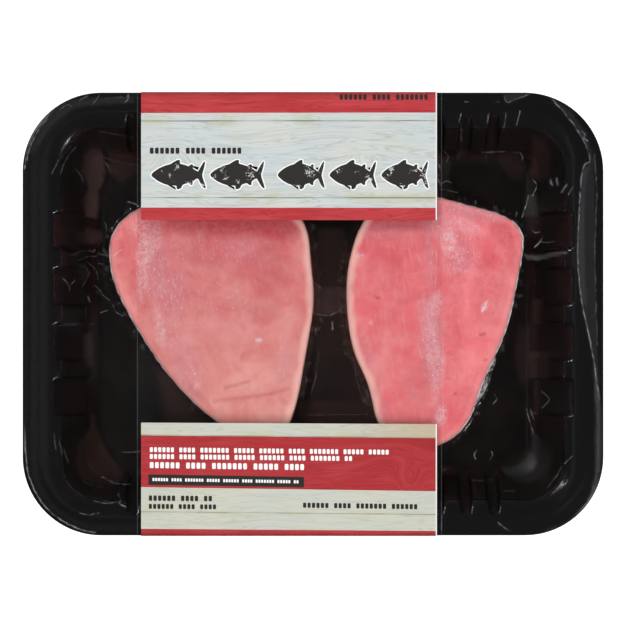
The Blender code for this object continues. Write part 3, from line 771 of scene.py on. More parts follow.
CREASES_IN_RIGHT_WELL = [
    ([(61.4, 76.8), (62.4, 75.9), (61.6, 75)], 0.4, 0.3, 0.7), ([(61.4, 74), (62.4, 73.2), (61.6, 72.4)], 0.4, 0.3, 0.7),
    ([(71.8, 68), (80, 68.3), (87.4, 67.8)], 0.3, 0.25, 0.3),
    ([(99.2, 55.8), (99.6, 54.2)], 0.7, 0.25, 1.0), ([(101.3, 56.2), (101.5, 54.4)], 0.6, 0.25, 0.9),
    ([(103.1, 50.9), (104.6, 53.3)], 0.5, 0.25, 0.8), ([(105.6, 49.4), (106.9, 51.7)], 0.4, 0.25, 0.6),
    ([(92.8, 56.5), (93.7, 55.3)], 0.35, 0.3, 0.8), ([(94.1, 54.6), (93.8, 52.6), (92.6, 50.4)], 0.35, 0.35, 0.9),
    ([(90.7, 49.7), (89.6, 45.2), (88.7, 43.0), (88.3, 41.1)], 0.4, 0.35, 0.8), ([(85.6, 42.2), (85.4, 41.2)], 0.4, 0.3, 0.9),
    ([(96.6, 32.6), (95.2, 30.2), (93.4, 28.3)], 0.4, 0.35, 1.0), ([(92.2, 35.2), (93.4, 34.0), (94.8, 34.4)], 0.35, 0.3, 0.5),
    ([(95.0, 30.4), (97.6, 30.0), (100.1, 30.2)], 0.35, 0.3, 0.35), ([(68.4, 47.4), (68.6, 46.6)], 0.35, 0.2, 0.7),
    ([(88.0, 26.0), (90.4, 24.2), (94.9, 23.0), (98.6, 24.9), (104.0, 25.3)], 0.5, 0.4, 0.35),
    ([(52.8, 63.4), (53.6, 60.4), (52.6, 57.2), (54, 54.6)], 0.6, 0.4, 0.9), ([(53.6, 54.4), (56, 56), (58, 55.4)], 0.35, 0.3, 0.8),
    ([(55.4, 68), (57, 66.4), (56.4, 64.4)], 0.35, 0.3, 0.6), ([(54, 52.6), (58, 51.8), (60.6, 51.2)], 0.35, 0.3, 0.5),
    ([(87.4, 67.4), (88.2, 66.4), (88.2, 65.2)], 0.35, 0.3, 0.5),
    ([(68.8, -57.8), (67.8, -59.2), (68.6, -61)], 0.35, 0.3, 0.7), ([(75.2, -58), (75.6, -59.4), (74.8, -60.6)], 0.35, 0.3, 0.6),
    ([(92, -49.9), (98, -54.6), (99.4, -60.2), (95.7, -67), (88.7, -70.8), (82.4, -68.2), (79.6, -64.3)], 0.5, 0.3, 0.06),
    ([(67.2, -69.7), (71.4, -69.9), (75.5, -69.6)], 0.3, 0.25, 0.35), ([(80, -73.8), (82.9, -73.9)], 0.3, 0.25, 0.35),
    ([(103.9, -61.9), (105.4, -60.4)], 0.3, 0.25, 0.6), ([(105.6, -60.2), (106.8, -59)], 0.3, 0.25, 0.6),
    ([(97.3, -71.8), (100.4, -68), (103.1, -62.7)], 0.3, 0.25, 0.5),
    ([(99.2, -73.9), (100.6, -71.9)], 0.3, 0.25, 0.6), ([(100.8, -73.1), (102.2, -71.1)], 0.3, 0.25, 0.6),
    ([(102.4, -72.1), (103.8, -70.1)], 0.3, 0.25, 0.6), ([(104, -70.9), (105.2, -68.7)], 0.3, 0.25, 0.6),
    ([(96.1, -32.6), (98.9, -35.8), (96.2, -39.4)], 0.4, 0.3, 0.4),
    ([(89.9, -40.8), (91.4, -45.4), (92.8, -50.7)], 0.35, 0.3, 0.5), ([(91.6, -40.4), (92.8, -44)], 0.3, 0.3, 0.5),
    ([(91.4, -3.9), (95, -3.8), (98.6, -3.9)], 0.5, 0.35, 0.05), ([(91, -16.1), (95, -16), (98.8, -16.2)], 0.5, 0.35, 0.05),
    ([(91, -26.4), (95, -26.5), (98.8, -26.3)], 0.5, 0.35, 0.05),
    ([(76.2, -33.6), (77.4, -35.8), (76, -37.6)], 0.35, 0.3, 0.6),
]
CREASES_ON_RIGHT_FLANGE = [
    ([(99, 88.3), (106, 80.4), (112.6, 69.7), (114.2, 63.5), (111.3, 59.4), (109.7, 38.8), (109.3, 22.3), (110.9, 5.8),
      (115.1, -14.8), (118.2, -35.5)], 0.45, 0.3, 0.75),
    ([(111.0, 75.4), (112.4, 74.2), (111.6, 72.8), (113, 71.6)], 0.6, 0.4, 0.8),
    ([(116.2, 66), (117.2, 50), (116.4, 30), (116.6, 10), (117.4, -12)], 0.35, 0.2, 0.3),
    ([(78.8, 90.6), (80.2, 87.4), (84, 88.8), (88.2, 90.4)], 0.45, 0.2, 0.35),
    ([(72.5, 82), (72.3, 76.4)], 0.3, 0.15, 0.35), ([(79.7, 82.5), (78.9, 77.1)], 0.3, 0.15, 0.7),
    ([(85.5, 83.7), (84.2, 78.4)], 0.3, 0.15, 0.7), ([(64.8, 81.3), (64.0, 78.4)], 0.3, 0.15, 0.7),
    ([(61.2, 82), (61.3, 77)], 0.3, 0.15, 0.5),
    ([(62.6, 87.8), (63.6, 87.7)], 0.35, 0.2, 0.7), ([(75.9, 87.6), (76.9, 87.6)], 0.35, 0.2, 0.7),
    ([(76.7, -86.2), (78.8, -88), (81.2, -89.5)], 0.45, 0.3, 0.5),
    ([(53, -77.9), (53.2, -83), (53, -88.7)], 0.35, 0.2, 0.4),
]
CREASES_ON_STEAKS = [
    ([(-26.6, -29.3), (-25.8, -29.9), (-25.2, -29.4)], 0.45, 0.25, 1.0), ([(-22.9, -10.2), (-22.5, -11.2)], 0.4, 0.25, 1.0),
    ([(-21.4, -11.2), (-21.0, -10.2)], 0.4, 0.25, 1.0), ([(20.2, 24.3), (20.8, 24)], 0.4, 0.2, 0.9),
    ([(70.0, 1.4), (70.9, 3.0), (71.8, 4.6)], 0.45, 0.25, 1.0), ([(-82.6, 24), (-81, 25.8), (-79.4, 26.6)], 0.4, 0.25, 1.0),
    ([(51.2, 26), (50.8, 16), (50.6, 6)], 0.35, 0.12, 0.35),
]
CREASES = [(CREASES_ON_LEFT_FLANGE, 0.55), (CREASES_IN_LEFT_WELL, 0.35), (CREASES_BETWEEN_STEAKS, 0.5),
           (CREASES_IN_RIGHT_WELL, 0.35), (CREASES_ON_RIGHT_FLANGE, 0.35), (CREASES_ON_STEAKS, 1.0)]
# A patch is its outline, how soft its edge is, how far the film stands off there, how milky it is, and how
# much pinkish-brown it takes: juice in some, a painted reflection of the flesh in others, and in others
# painted light that lifts the well's shade beside the steaks.
PATCHES = [
    ([(-95.5, 66), (-93, 69.5), (-89, 69), (-87.6, 62), (-88.3, 56), (-90.5, 52), (-90.3, 46), (-91.4, 40.5),
      (-95.6, 41), (-96.6, 47), (-94.3, 53), (-96.8, 60)], 1.2, 1.2, 0.010, 0.075),
    ([(-99, 33), (-95, 36), (-89, 35), (-88, 31), (-92, 29.5), (-98, 30)], 2.0, 1.0, 0.006, 0.035),
    ([(-86, 69), (-74, 67), (-73, 60), (-80, 56), (-86, 60)], 3.0, 0.5, 0.0, 0.05),
    ([(-98.5, 20), (-95.5, 21), (-94.2, 17), (-95.8, 13.5), (-98, 14)], 1.2, 0.8, 0.004, 0.03),
    ([(-97, -8), (-93, -8), (-92.6, -22), (-96.6, -22)], 1.6, 0.5, 0.010, 0.012),
    ([(-104, 2), (-97, 2), (-97, -9), (-104, -9)], 3.0, 0.5, 0.010, 0.0),
    ([(-92.8, -40.8), (-94, -49), (-98.3, -54.5), (-98.9, -62.8), (-96.9, -68.2), (-92, -71), (-82.5, -71),
      (-79.7, -68), (-83.8, -61.4), (-88, -56), (-90.4, -50.4)], 1.0, 1.6, 0.0, 0.036),
    ([(91, 74), (96, 72), (99.3, 66), (98.5, 58), (95, 55.5), (91.5, 60), (92, 67)], 1.4, 2.0, 0.002, 0.045),
    ([(78, 66), (86, 68), (89.5, 63), (88, 56), (83, 57)], 2.6, 1.0, 0.0, 0.028),
    ([(92.6, 6), (96.6, 6), (96.4, -4), (92.4, -4)], 1.4, 0.8, 0.003, 0.035),
    ([(91.4, -16), (98.4, -16), (98, -27), (91.6, -27)], 1.6, 0.8, 0.003, 0.035),
    ([(86, -4), (91, -6), (92, -26), (88, -30), (85, -18)], 2.4, 0.5, 0.0, 0.03),
    ([(92, -49.9), (97.4, -53), (99.8, -59), (98.6, -64.6), (94, -69.2), (88.7, -70.8), (83, -69.4), (79.6, -65),
      (84.6, -64.4), (89.6, -62), (92.4, -57)], 1.6, 0.0, 0.013, 0.0),
    ([(96.4, -57.5), (98.4, -61), (96.4, -66.4), (93.6, -65), (95, -61)], 2.2, 0.0, 0.010, 0.0),
    ([(-3, 13), (3.3, 11), (12, 11), (16, 12), (14, 0.6), (7, -0.7), (1, 0.6), (-2, 3)], 1.0, 0.6, 0.010, 0.05),
    ([(2, 36), (13, 36), (17, 12), (15, -8), (20, -20), (27, -43), (30, -52), (-2, -52), (1, -16), (-1, 8)],
      3.0, 0.3, 0.0, 0.05),
    ([(1.2, -17.3), (17.7, -17.3), (14.8, -37), (2, -37)], 0.8, 0.2, 0.004, -0.03),
    ([(-74.6, -14), (-70, -14), (-62, -26), (-44, -47), (-40, -52), (-74.6, -52)], 1.0, 0.0, 0.006, 0.0),
    ([(-66, -22), (-58, -26), (-42, -44), (-34, -52), (-60, -52)], 6.0, 0.0, 0.0, 0.085),
    ([(-6, -37.4), (5, -36.6), (20, -36.6), (25, -30), (32, -52), (-6, -52)], 2.4, 0.0, 0.0, 0.045),
    ([(99, 88.3), (106, 80.4), (112.6, 69.7), (114.2, 63.5), (111.3, 59.4), (109.7, 38.8), (109.3, 22.3),
      (110.9, 5.8), (115.1, -14.8), (117.9, -35.5), (118.2, -35.5), (117.4, -14), (116.8, 6), (116.3, 30),
      (116.4, 52), (115.8, 64), (112.5, 75), (106.5, 83.5), (101, 88)], 0.8, 0.3, 0.013, 0.0),
    ([(115.4, -14), (118.4, -34), (119.2, -60), (116.4, -75), (110.2, -84.6), (99, -90.4), (94, -90.6), (106, -86.2),
      (113.6, -77.4), (116.8, -66), (117.0, -40)], 0.8, 0.2, 0.045, 0.0),
    ([(52, 68), (58, 64), (57, 55), (60, 49), (52, 48)], 2.0, 0.6, 0.012, 0.012),
    ([(90.4, 50), (94.1, 50), (95.0, 44), (94.8, 41), (88.8, 41)], 1.2, 0.6, 0.016, 0.006),
    ([(88, 26.2), (90.4, 24.8), (94.9, 24.4), (98.6, 25.6), (104, 25.9), (104, 24.9), (98.8, 23.6), (94.9, 22.4),
      (90.0, 23.2)], 0.6, 0.6, 0.07, 0.0),
    ([(78.6, 91), (80.2, 87.2), (84, 88.4), (88.4, 91)], 1.4, 0.3, 0.018, 0.0),
    ([(109.7, 38.8), (109.3, 22.3), (110.9, 5.8), (113.2, 2), (112.2, 22), (112.2, 40), (113, 56), (114.6, 62),
      (111.3, 59.4)], 1.4, 0.0, 0.03, 0.0),
    ([(-112, 80), (-100, 88.6), (-74, 90), (-74, 87.4), (-98, 85.4), (-108, 77.4), (-115.8, 66), (-117.4, 67)],
     1.6, 0.2, 0.012, 0.0),
]

# Outside the right steak's lower edge the film is gathered into a web: soft ovals, as X and Y, half sizes
# in mm, turn in degrees and strength.
GATHERED = [(70.4, -31, 9, 2.6, 62, 1.0), (74.4, -21.6, 5, 1.8, 66, 0.8), (63, -45, 6, 1.4, 50, 0.5)]

# %% Film points
FILM_GAP = 0.12 * MM
FILM_EDGE = 0.6 * MM
FILM_GRID = 1.05 * MM
RINGS_ROUND_STEAK = (-2.6, -1.6, -1.0, -0.5, -0.2, 0.1, 0.4, 0.62, 0.85, 1.1, 1.5, 2.1, 2.8, 3.6)  # mm outside
CREASE_ROWS = (-2.2, -1.0, -0.45, 0.0, 0.45, 1.0, 2.2)  # in half widths
CREASE_STEP = 0.5 * MM


def level_ring(inset, long_inset, share=0.0):
    return np.array([point[:2] for point in tray_loop((inset, long_inset, 0.0, share))])


def wobble(points, size, seed):
    """Smooth noise from -1 to 1 at each point, with features of a size in metres."""
    return np.array([noise.noise(Vector((x / size, y / size, seed))) for x, y in points])


routes = []
for creases, how_white in CREASES:
    for corners, half_width, height, white in creases:
        route, across = smooth_route(corners, CREASE_STEP)
        half_width, height = half_width * CREASE_WIDTH * MM, height * CREASE_HEIGHT * MM
        frayed = wobble(route, 2.2 * MM, 5.5)[:, None] * across * 0.7 * half_width
        routes.append((route + frayed, across, half_width, height, white * how_white))

fixed = [level_ring(FILM_EDGE, FILM_EDGE), level_ring(2.2 * MM, 2.2 * MM), level_ring(5.2 * MM, 5.2 * MM),
         level_ring(8.0 * MM, 7.0 * MM)]
for level in top_levels[12:-1:2]:
    fixed.append(level_ring(level[0], level[1], level[3]))
for outline in outlines.values():
    fixed += [outline + outward(outline) * ring * MM for ring in RINGS_ROUND_STEAK]
for route, across, half_width, _, _ in routes:
    fixed += [route + across * row * half_width for row in CREASE_ROWS]
fixed = np.vstack(fixed)


def thinned(points, size):
    """The points, with at most one in each small square."""
    cells = np.floor(points / size).astype(np.int64)
    _, first = np.unique(cells[:, 0] * 100003 + cells[:, 1], return_index=True)
    return points[np.sort(first)]


half_x, half_y = HALF_LENGTH - FILM_EDGE, HALF_WIDTH - FILM_EDGE
grid_x, grid_y = np.meshgrid(np.arange(-half_x, half_x, FILM_GRID), np.arange(-half_y, half_y, FILM_GRID))
grid = np.column_stack([grid_x.ravel(), grid_y.ravel()])
grid[:, 0] += 0.35 * FILM_GRID * wobble(grid, 0.7 * MM, 1.5)
grid[:, 1] += 0.35 * FILM_GRID * wobble(grid, 0.7 * MM, 8.5)
edge_radius = CORNER_RADIUS - FILM_EDGE


def inside_edge(points, margin):
    """Whether each point lies inside the rounded rectangle of the film's edge."""
    away = np.maximum(np.abs(points) - np.array([half_x - edge_radius, half_y - edge_radius]), 0)
    return np.linalg.norm(away, axis=1) < edge_radius - margin


film_places = [level_ring(FILM_EDGE, FILM_EDGE)]
fixed = fixed[inside_edge(fixed, 0.4 * MM)]
film_places.append(thinned(fixed, 0.22 * MM))
taken = set(map(tuple, np.floor(fixed / (0.6 * MM)).astype(int)))
cells = np.floor(grid / (0.6 * MM)).astype(int)
free = np.array([tuple(cell) not in taken for cell in cells]) & inside_edge(grid, 0.8 * MM)
film_places.append(grid[free])
film_places = np.vstack(film_places)
print("film points:", len(film_places))

# %% Film heights
FILM_SIDE = [
    (-2.4, 22.4), (-1.6, 22.38), (-1.0, 22.34), (-0.5, 22.28), (-0.2, 22.22), (0.1, 22.14), (0.4, 22.0),
    (0.62, 21.5), (0.85, 15.0), (1.1, 5.0), (1.5, 1.4), (2.1, 0.4), (2.8, 0.1), (3.6, 0.0), (4.1, -2.0),
]  # mm outside a steak's outline, and mm above its underside


def heights_on(piece, points):
    """The height of a piece's upper surface under each point, or 0 where there is none."""
    tree = BVHTree.FromObject(piece, bpy.context.evaluated_depsgraph_get())
    down = Vector((0, 0, -1))
    found = [tree.ray_cast(Vector((x, y, 0.1)), down)[0] for x, y in points]
    return np.array([0.0 if hit is None else hit.z for hit in found])


film_z = heights_on(tray, film_places) + FILM_GAP
near = {name: signed_distance(film_places, outline) for name, outline in outlines.items()}
uneven_lip = 0.24 * MM * wobble(film_places, 2.2 * MM, 6.1)  # the film doesn't follow the flesh evenly
patch_shares = []
for corners, soft, lift, _, _ in PATCHES:
    share = np.clip(0.5 - signed_distance(film_places, np.array(corners) * MM) / (soft * MM), 0, 1)
    share = share**2 * (3 - 2 * share)
    patch_shares.append(share)
    film_z += 0.3 * lift * MM * share
for name, distance in near.items():
    side, up = zip(*FILM_SIDE)
    over = STEAK_BASE + np.interp((distance + uneven_lip) / MM, side, up) * MM
    over[distance / MM > side[-1]] = 0.0
    crown = distance < -1.5 * MM
    over[crown] = np.maximum(over[crown] - 0.6 * MM, heights_on(steaks[name], film_places[crown]) + FILM_GAP)
    film_z = np.maximum(film_z, over)
apart = np.minimum(near["steak_left"], near["steak_right"])
gathered = np.zeros(len(film_places))
for x, y, long, wide, turn, strength in GATHERED:
    gathered = np.maximum(gathered, strength * spot(film_places, x, y, long, wide, turn))
WALL_MILK = 0.005  # the film hangs a little loose of the walls, which greys them
on_wall = np.clip(film_z / MM - 4.0, 0, 1) * np.clip((FLANGE_TOP - film_z) / MM - 1.0, 0, 1) * (apart > 4.2 * MM)
web = STEAK_BASE + 21.8 * MM - 2.4 * apart + 0.25 * MM * wobble(film_places, 1.3 * MM, 4.4)
share = np.where(apart > 0.3 * MM, np.clip(1.6 * gathered, 0, 1), 0)
share = share**2 * (3 - 2 * share)
film_z = np.maximum(film_z, film_z * (1 - share) + web * share)
white = np.zeros(len(film_places))
for route, across, half_width, height, stretched in routes:
    box_low, box_high = route.min(axis=0) - 3 * half_width, route.max(axis=0) + 3 * half_width
    close = np.where(((film_places > box_low) & (film_places < box_high)).all(axis=1))[0]
    apart = np.linalg.norm(film_places[close][:, None] - route[None], axis=2).min(axis=1) / half_width
    film_z[close] += height * np.exp(-(apart**2) * 1.2)
    ragged = 0.6 + 0.9 * wobble(film_places[close], 1.6 * MM, 2.5)
    white[close] = np.maximum(white[close], stretched * np.clip(ragged, 0, 1) * np.exp(-((apart * 1.6) ** 2)))
print("film height, mm:", round(film_z.min() / MM, 2), "to", round(film_z.max() / MM, 2))

# %% Film mesh
flat_points, _, triangles, origins, _, _ = delaunay_2d_cdt([Vector(p) for p in film_places], [], [], 0, 1e-8)
print("film triangulated:", len(flat_points), len(triangles))
film_bm = bmesh.new()
film_verts = [film_bm.verts.new((*point, film_z[source[0]])) for point, source in zip(flat_points, origins)]
for corners in triangles:
    film_bm.faces.new([film_verts[index] for index in corners])
bmesh.ops.recalc_face_normals(film_bm, faces=film_bm.faces[:])
if sum(face.normal.z for face in film_bm.faces) < 0:
    bmesh.ops.reverse_faces(film_bm, faces=film_bm.faces[:])

# %% [markdown]
# ## Clear skin film
# Ionomer film is clear and glossy. It hides nothing where it lies flat, so the shader is mostly see-through
# with a Fresnel reflection, and it turns milky where it is stretched along creases and, very faintly, where
# it stands off the tray. The white on the creases is also a painted glint, and a white line along the side
# of each steak's edge that faces a lamp is a painted highlight. A pinkish-brown layer is juice in places and
# elsewhere painted light: a painted reflection of the flesh, and a lift of the shade beside the steaks.

# %% Film material
clear_film, tree = start_material("clear_ionomer_skin_film")
place = add_node(tree, "ShaderNodeTexCoord").outputs["Object"]
crinkle = add_node(tree, "ShaderNodeTexNoise", {
    "Scale": 1 / (3.0 * MM), "Detail": 3.0, "Roughness": 0.6, "Distortion": 0.6,
}, {"Vector": place})
bump = add_node(tree, "ShaderNodeBump", {"Strength": 0.22, "Distance": 0.4 * MM}, {
    "Height": crinkle.outputs["Fac"],
})
facing = add_node(tree, "ShaderNodeLayerWeight", {"Blend": 0.5}, {"Normal": bump.outputs["Normal"]})
glance = add_node(tree, "ShaderNodeMath", {"operation": "POWER", 1: 5.0}, {0: facing.outputs["Facing"]})
mirror = add_node(tree, "ShaderNodeMath", {"operation": "MULTIPLY_ADD", 1: 0.96, 2: 0.04}, {0: glance.outputs[0]})
clear = add_node(tree, "ShaderNodeBsdfTransparent", {"Color": linear("#fafafa")})
slack = add_node(tree, "ShaderNodeAttribute", {"attribute_name": "slack"})
dulled = add_node(tree, "ShaderNodeMapRange", {"To Min": 0.13, "To Max": 0.5}, {"Value": slack.outputs["Fac"]})
shine = add_node(tree, "ShaderNodeBsdfGlossy", {"Color": linear("#ffffff")}, {
    "Roughness": dulled.outputs["Result"], "Normal": bump.outputs["Normal"],
})
sheet = add_node(tree, "ShaderNodeMixShader", links={
    0: mirror.outputs[0], 1: clear.outputs["BSDF"], 2: shine.outputs["BSDF"],
})
# Milky white: stretched film, painted glints on the creases, and a painted highlight along each steak's edge.
stretched = add_node(tree, "ShaderNodeAttribute", {"attribute_name": "white"})
milk = add_node(tree, "ShaderNodeBsdfDiffuse", {"Color": linear("#e8eaed")})
clouded = add_node(tree, "ShaderNodeMixShader", links={
    0: stretched.outputs["Fac"], 1: sheet.outputs["Shader"], 2: milk.outputs["BSDF"],
})
# A pinkish-brown layer: juice, and painted light, a painted reflection of the flesh and a lift of the well's shade.
blush_share = add_node(tree, "ShaderNodeAttribute", {"attribute_name": "blush"})
juice_and_painted_light = add_node(tree, "ShaderNodeBsdfDiffuse", {"Color": linear("#966c66")})
stained = add_node(tree, "ShaderNodeMixShader", links={
    0: blush_share.outputs["Fac"], 1: clouded.outputs["Shader"], 2: juice_and_painted_light.outputs["BSDF"],
})
add_node(tree, "ShaderNodeOutputMaterial", links={"Surface": stained.outputs["Shader"]})
skin_film = finish_piece("skin_film_sheet", film_bm, [clear_film], "skin_film", "skin_film")

# %% Where the film is milky or stained
# The white line along one side of each steak's edge is a painted highlight on the side that faces a lamp. These give
# that side and how strong the line is.
HIGHLIGHT_SIDE = {"steak_left": (-0.95, 0.05), "steak_right": (0.95, 0.1)}  # the way that its white edge faces
HIGHLIGHT_SHARE = {"steak_left": 0.85, "steak_right": 1.2}
GATHER = (0.5 * MM, 2.2 * MM)  # across and along one pleat
film_points = places_of(skin_film.data)
pleat_turn = math.radians(35)  # the pleats run up and out, at this angle to X
PLEAT_AXES = np.array([[-math.sin(pleat_turn), math.cos(pleat_turn)], [math.cos(pleat_turn), math.sin(pleat_turn)]])
source_of = [source[0] for source in origins]
milk_and_highlight = white[source_of]
blush = np.zeros(len(film_points))
for name in outlines:
    distance = (near[name] + uneven_lip)[source_of] / MM
    uneven = np.clip(0.7 + 0.9 * wobble(film_points[:, :2], 2.4 * MM, 4.5), 0, 1)
    outline = outlines[name]
    nearest = [int(np.argmin(((outline - point[:2]) ** 2).sum(1))) for point in film_points]
    facing = (outward(outline)[nearest] @ np.array(HIGHLIGHT_SIDE[name])).clip(0, 1)
    # A painted highlight: a white line just outside the edge that faces a lamp.
    edge = np.exp(-(((distance - 0.25) / 0.22) ** 2))
    milk_and_highlight = np.maximum(milk_and_highlight, HIGHLIGHT_SHARE[name] * facing * uneven * edge)
    # Sparse painted glints a little outside each steak.
    ragged = np.clip(3.0 * wobble(film_points[:, :2], 1.6 * MM, 7.5) - 0.75, 0, 1)
    milk_and_highlight = np.maximum(milk_and_highlight, 0.05 * ragged * (distance > 0.6) * (distance < 4.0))
    # A pinkish skirt beside each steak: juice and a painted reflection of the flesh, stronger away from the highlight.
    skirt = np.exp(-(((distance - 1.0) / 1.4) ** 2)) * (distance > 0)
    blush = np.maximum(blush, (0.06 + 0.13 * (1 - facing)) * uneven * skirt)
pleats = np.clip(0.6 + 1.8 * wobble(film_points[:, :2] @ PLEAT_AXES / GATHER, 1.0, 3.3), 0, 1)
outside = np.minimum(near["steak_left"], near["steak_right"])[source_of] > 0.1 * MM
milk_and_highlight = np.maximum(milk_and_highlight, 0.95 * gathered[source_of] * pleats * outside)
milk_and_highlight = np.maximum(milk_and_highlight, WALL_MILK * on_wall[source_of])
mottled = np.clip(0.5 + 1.4 * wobble(film_points[:, :2], 7 * MM, 12.5), 0, 1)
in_well = (np.abs(film_points[:, 0]) < 104 * MM) & (np.abs(film_points[:, 1]) < 77 * MM)
blush = np.maximum(blush, 0.006 * mottled * in_well)
# Each patch adds milk, and a pinkish-brown share that is juice and painted light.
for (_, _, _, haze, juice_and_painted_light_share), share in zip(PATCHES, patch_shares):
    milk_and_highlight = np.maximum(milk_and_highlight, haze * share[source_of])
    blush += juice_and_painted_light_share * share[source_of]
slack_corner = spot(film_points, 90, -62.5, 9, 7, 35)  # here the film hangs loose, and its gloss is dull
paint(skin_film.data, "slack", slack_corner)
paint(skin_film.data, "white", np.clip(milk_and_highlight, 0, 1))
paint(skin_film.data, "blush", np.clip(blush, 0, 1))


# %% [markdown]
# ## Sleeve
# A band of clear film goes round the pack and is welded to itself underneath. It is printed as one long
# panel that starts on the front, goes over the top edge, round the back and up over the bottom edge. The
# strip between its two ends is left clear, so the steaks show. The band is one tube, and the print is a
# fine grid laid along it just inside the band's outer face. Distances round the band run from the middle
# of the front over the top edge, so that on the front they are Y itself.

# %% Section of the band
CLEAR_SKIN = 0.12 * MM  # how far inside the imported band's outer face each layer lies
PRINT_SKIN = 0.08 * MM
HALO_SKIN = 0.05 * MM
INK_SKIN = 0.02 * MM
BAND_CORNERS = [
    (0.0, 0.0, sleeve_high.z, 0.0, 0.0),
    (sleeve_high.y, 0.0, sleeve_high.z, 0.0, 1.7),
    (sleeve_high.y, 0.0, 25.7 * MM, 0.0, 0.8),
    (71.5 * MM, 0.0, sleeve_low.z, 0.0, 1.7),
    (0.0, 0.0, sleeve_low.z, 0.0, 0.0),
]
half_section = np.array([(point[0], point[2]) for point in rounded_path(BAND_CORNERS, 6)])
section = np.vstack([half_section, half_section[-2::-1] * (-1, 1)])
section_run = np.concatenate([[0.0], np.cumsum(np.linalg.norm(np.diff(section, axis=0), axis=1))])
AROUND = section_run[-1]
section_along = np.gradient(section, axis=0)
section_along /= np.linalg.norm(section_along, axis=1)[:, None]
print("round the band, mm:", round(AROUND / MM, 1))


def on_band(x, around, skin):
    """The point at X and a distance round the band, a little inside the outer face."""
    y, z, along_y, along_z = (
        np.interp(around % AROUND, section_run, column)
        for column in (*section.T, *section_along.T)
    )
    return Vector((x, y + along_z * skin, z - along_y * skin))


# %% [markdown]
# ### Clear film of the band
# It is the same kind of film, flatter and glossier, with a faint painted highlight along the edge where it was slit.

# %% Clear band
slit_film, tree = start_material("clear_slit_film")
edge_share = add_node(tree, "ShaderNodeAttribute", {"attribute_name": "slit_edge"})
facing = add_node(tree, "ShaderNodeLayerWeight", {"Blend": 0.5})
glance = add_node(tree, "ShaderNodeMath", {"operation": "POWER", 1: 5.0}, {0: facing.outputs["Facing"]})
mirror = add_node(tree, "ShaderNodeMath", {"operation": "MULTIPLY_ADD", 1: 0.96, 2: 0.04}, {0: glance.outputs[0]})
clear = add_node(tree, "ShaderNodeBsdfTransparent", {"Color": linear("#fbfbfb")})
shine = add_node(tree, "ShaderNodeBsdfGlossy", {"Color": linear("#ffffff"), "Roughness": 0.08})
sheet = add_node(tree, "ShaderNodeMixShader", links={
    0: mirror.outputs[0], 1: clear.outputs["BSDF"], 2: shine.outputs["BSDF"],
})
milk = add_node(tree, "ShaderNodeBsdfDiffuse", {"Color": linear("#d8dadc")})
slit = add_node(tree, "ShaderNodeMixShader", links={
    0: edge_share.outputs["Fac"], 1: sheet.outputs["Shader"], 2: milk.outputs["BSDF"],
})
add_node(tree, "ShaderNodeOutputMaterial", links={"Surface": slit.outputs["Shader"]})

band_places = [sleeve_low.x + step * MM for step in (0.05, 0.25, 0.5)]
band_places += list(np.linspace(sleeve_low.x + 5 * MM, sleeve_high.x - 5 * MM, 12))
band_places += [sleeve_high.x - step * MM for step in (0.5, 0.25, 0.05)]
rings = []
for x in band_places:
    rings.append([on_band(x, around, CLEAR_SKIN) for around in section_run[:-1]])
band_bm = lofted(rings, cap_first=False, cap_last=False)
if sum(face.normal.z for face in band_bm.faces if face.calc_center_median().z > 30 * MM) < 0:
    bmesh.ops.reverse_faces(band_bm, faces=band_bm.faces[:])
band = finish_piece("sleeve_clear_band", band_bm, [slit_film], "sleeve_print", "sleeve")
band_x = places_of(band.data)[:, 0]
to_edge = np.minimum(band_x - sleeve_low.x, sleeve_high.x - band_x)
# A painted highlight: a faint milky line along each slit edge.
paint(band.data, "slit_edge", np.clip(0.10 * (1 - to_edge / (0.4 * MM)), 0, 1))

# %% [markdown]
# ### Printed planks
# The print shows painted planks, white and red. The white ones have thin grey grain, here and there an eye
# where the grain runs round a knot, and an olive tinge along the gaps between planks. Planks are 31.6 mm
# wide wherever they show, and the print on the lower panel sits about a degree out of square. The grain's
# course is worked out for each point of the grid, so that it can bend round the knots, and the shader draws
# thin lines along it.

# %% Rows of the print
PLANK = 31.6 * MM
FIRST_GAP = 48.0 * MM
PRINT_LEFT, PRINT_RIGHT = -70.9 * MM, 51.1 * MM
WHITE, RED = 0, 1
# Where each row of colour starts, in mm round the band, at the left and the right edge, and its colour.
PANEL_END = AROUND / MM
ROWS = [
    (38.8, 38.7, RED), (43.9, 43.8, WHITE), (82.9, 83.1, RED), (136.0, 136.0, WHITE),
    (PANEL_END - 136.0, PANEL_END - 136.0, RED), (PANEL_END - 88.6, PANEL_END - 89.5, WHITE),
    (PANEL_END - 71.4, PANEL_END - 73.1, RED), (PANEL_END - 50.1, PANEL_END - 51.2, WHITE),
    (PANEL_END - 44.8, PANEL_END - 45.4, None),
]
ROW_STEP = 0.9
COLUMN_STEP = 1.2 * MM
